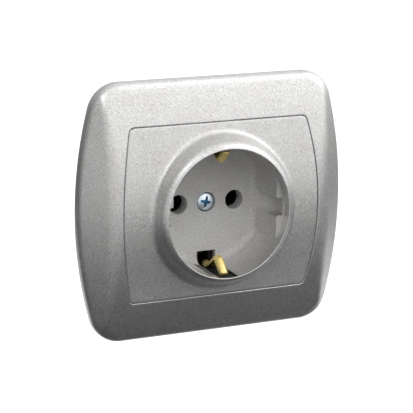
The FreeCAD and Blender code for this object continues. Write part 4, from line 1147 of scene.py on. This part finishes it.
def floor_paper():
    """Pale paper, which mirrors show pale behind the socket and far in front of it, and grey between."""
    finish, shader = new_finish("floor_paper")
    place = add_node(finish, "ShaderNodeTexCoord", {})
    turn = add_node(finish, "ShaderNodeMapping", {"Rotation": (0, 0, CAMERA_LEFT)})
    parts = add_node(finish, "ShaderNodeSeparateXYZ", {})
    aside = add_node(finish, "ShaderNodeMath", {}, operation="ABSOLUTE")
    join(finish, place.outputs["Object"], turn.inputs["Vector"])
    join(finish, turn.outputs["Vector"], parts.inputs["Vector"])
    join(finish, parts.outputs["X"], aside.inputs[0])
    pale = combine(finish, "MINIMUM", ramp(finish, parts.outputs["Y"], PALE_BEHIND),
                   ramp(finish, aside.outputs["Value"], PALE_WIDTH))
    pale = combine(finish, "MAXIMUM", pale, ramp(finish, parts.outputs["Y"], PALE_FRONT))
    path = add_node(finish, "ShaderNodeLightPath", {})
    mirrored = combine(finish, "MAXIMUM", path.outputs["Is Glossy Ray"],
                       path.outputs["Is Transmission Ray"])
    pale = combine(finish, "MULTIPLY", pale, mirrored)
    pale = combine(finish, "MAXIMUM", pale, path.outputs["Is Camera Ray"])
    shade = add_node(finish, "ShaderNodeMix", {"A": (*[FLOOR_GREY] * 3, 1), "B": (*[FLOOR_PALE] * 3, 1)},
                     data_type="RGBA")
    join(finish, pale, shade.inputs["Factor"])
    join(finish, shade.outputs["Result"], shader.inputs["Base Color"])
    shader.inputs["Roughness"].default_value = FLOOR_ROUGHNESS
    glow = add_node(finish, "ShaderNodeMapRange", {"To Max": FLOOR_GLOW})
    join(finish, pale, glow.inputs["Value"])
    shader.inputs["Emission Color"].default_value = (1, 1, 1, 1)
    join(finish, glow.outputs["Result"], shader.inputs["Emission Strength"])
    return finish


def studio_floor():
    mesh = bpy.data.meshes.new("studio_floor")
    corners = [(-1, -1), (1, -1), (1, 1), (-1, 1)]
    points = [(x * FLOOR_HALF, y * FLOOR_HALF, FLOOR_DROP) for x, y in corners]
    mesh.from_pydata(points, [], [(0, 1, 2, 3)])
    floor = bpy.data.objects.new("studio_floor", mesh)
    bpy.context.scene.collection.objects.link(floor)
    mesh.materials.append(floor_paper())


def studio_surround():
    """A plain soft surround, a little brighter in front and to the right."""
    world = bpy.data.worlds.new("studio_surround")
    world.use_nodes = True
    background = world.node_tree.nodes["Background"]
    place = add_node(world, "ShaderNodeTexCoord", {})
    slope = add_node(world, "ShaderNodeVectorMath", {1: SURROUND_SLOPE}, operation="DOT_PRODUCT")
    level = add_node(world, "ShaderNodeMath", {1: SURROUND_LEVEL}, operation="ADD")
    join(world, place.outputs["Generated"], slope.inputs[0])
    join(world, slope.outputs["Value"], level.inputs[0])
    background.inputs["Color"].default_value = (1, 1, 1, 1)
    join(world, level.outputs["Value"], background.inputs["Strength"])
    bpy.context.scene.world = world


def studio_lamp(name, side, rise, strength):
    lamp = bpy.data.lights.new(name, "SUN")
    lamp.energy = strength
    lamp.angle = LAMP_SPREAD
    holder = bpy.data.objects.new(name, lamp)
    toward = Vector((math.sin(side) * math.cos(rise), -math.cos(side) * math.cos(rise), math.sin(rise)))
    holder.rotation_euler = toward.to_track_quat("Z", "Y").to_euler()
    bpy.context.scene.collection.objects.link(holder)


def photo_camera():
    lens = bpy.data.cameras.new("photo_camera")
    lens.lens = CAMERA_LENS
    lens.shift_x, lens.shift_y = CAMERA_SHIFT
    lens.clip_start = CAMERA_NEAR
    camera = bpy.data.objects.new("photo_camera", lens)
    flat = math.cos(CAMERA_RISE)
    ahead = Vector((math.sin(CAMERA_LEFT) * flat, math.cos(CAMERA_LEFT) * flat, -math.sin(CAMERA_RISE)))
    level = ahead.cross(Vector((0, 0, 1))).normalized()
    upright = level.cross(ahead)
    right = math.cos(CAMERA_ROLL) * level + math.sin(CAMERA_ROLL) * upright
    up = math.cos(CAMERA_ROLL) * upright - math.sin(CAMERA_ROLL) * level
    turn = Matrix((right, up, -ahead)).transposed()
    camera.matrix_world = Matrix.Translation(CAMERA_PLACE) @ turn.to_4x4()
    bpy.context.scene.collection.objects.link(camera)
    bpy.context.scene.camera = camera


studio_floor()
studio_surround()
for lamp_settings in LAMPS:
    studio_lamp(*lamp_settings)
photo_camera()
bpy.context.scene.view_settings.view_transform = "Standard"
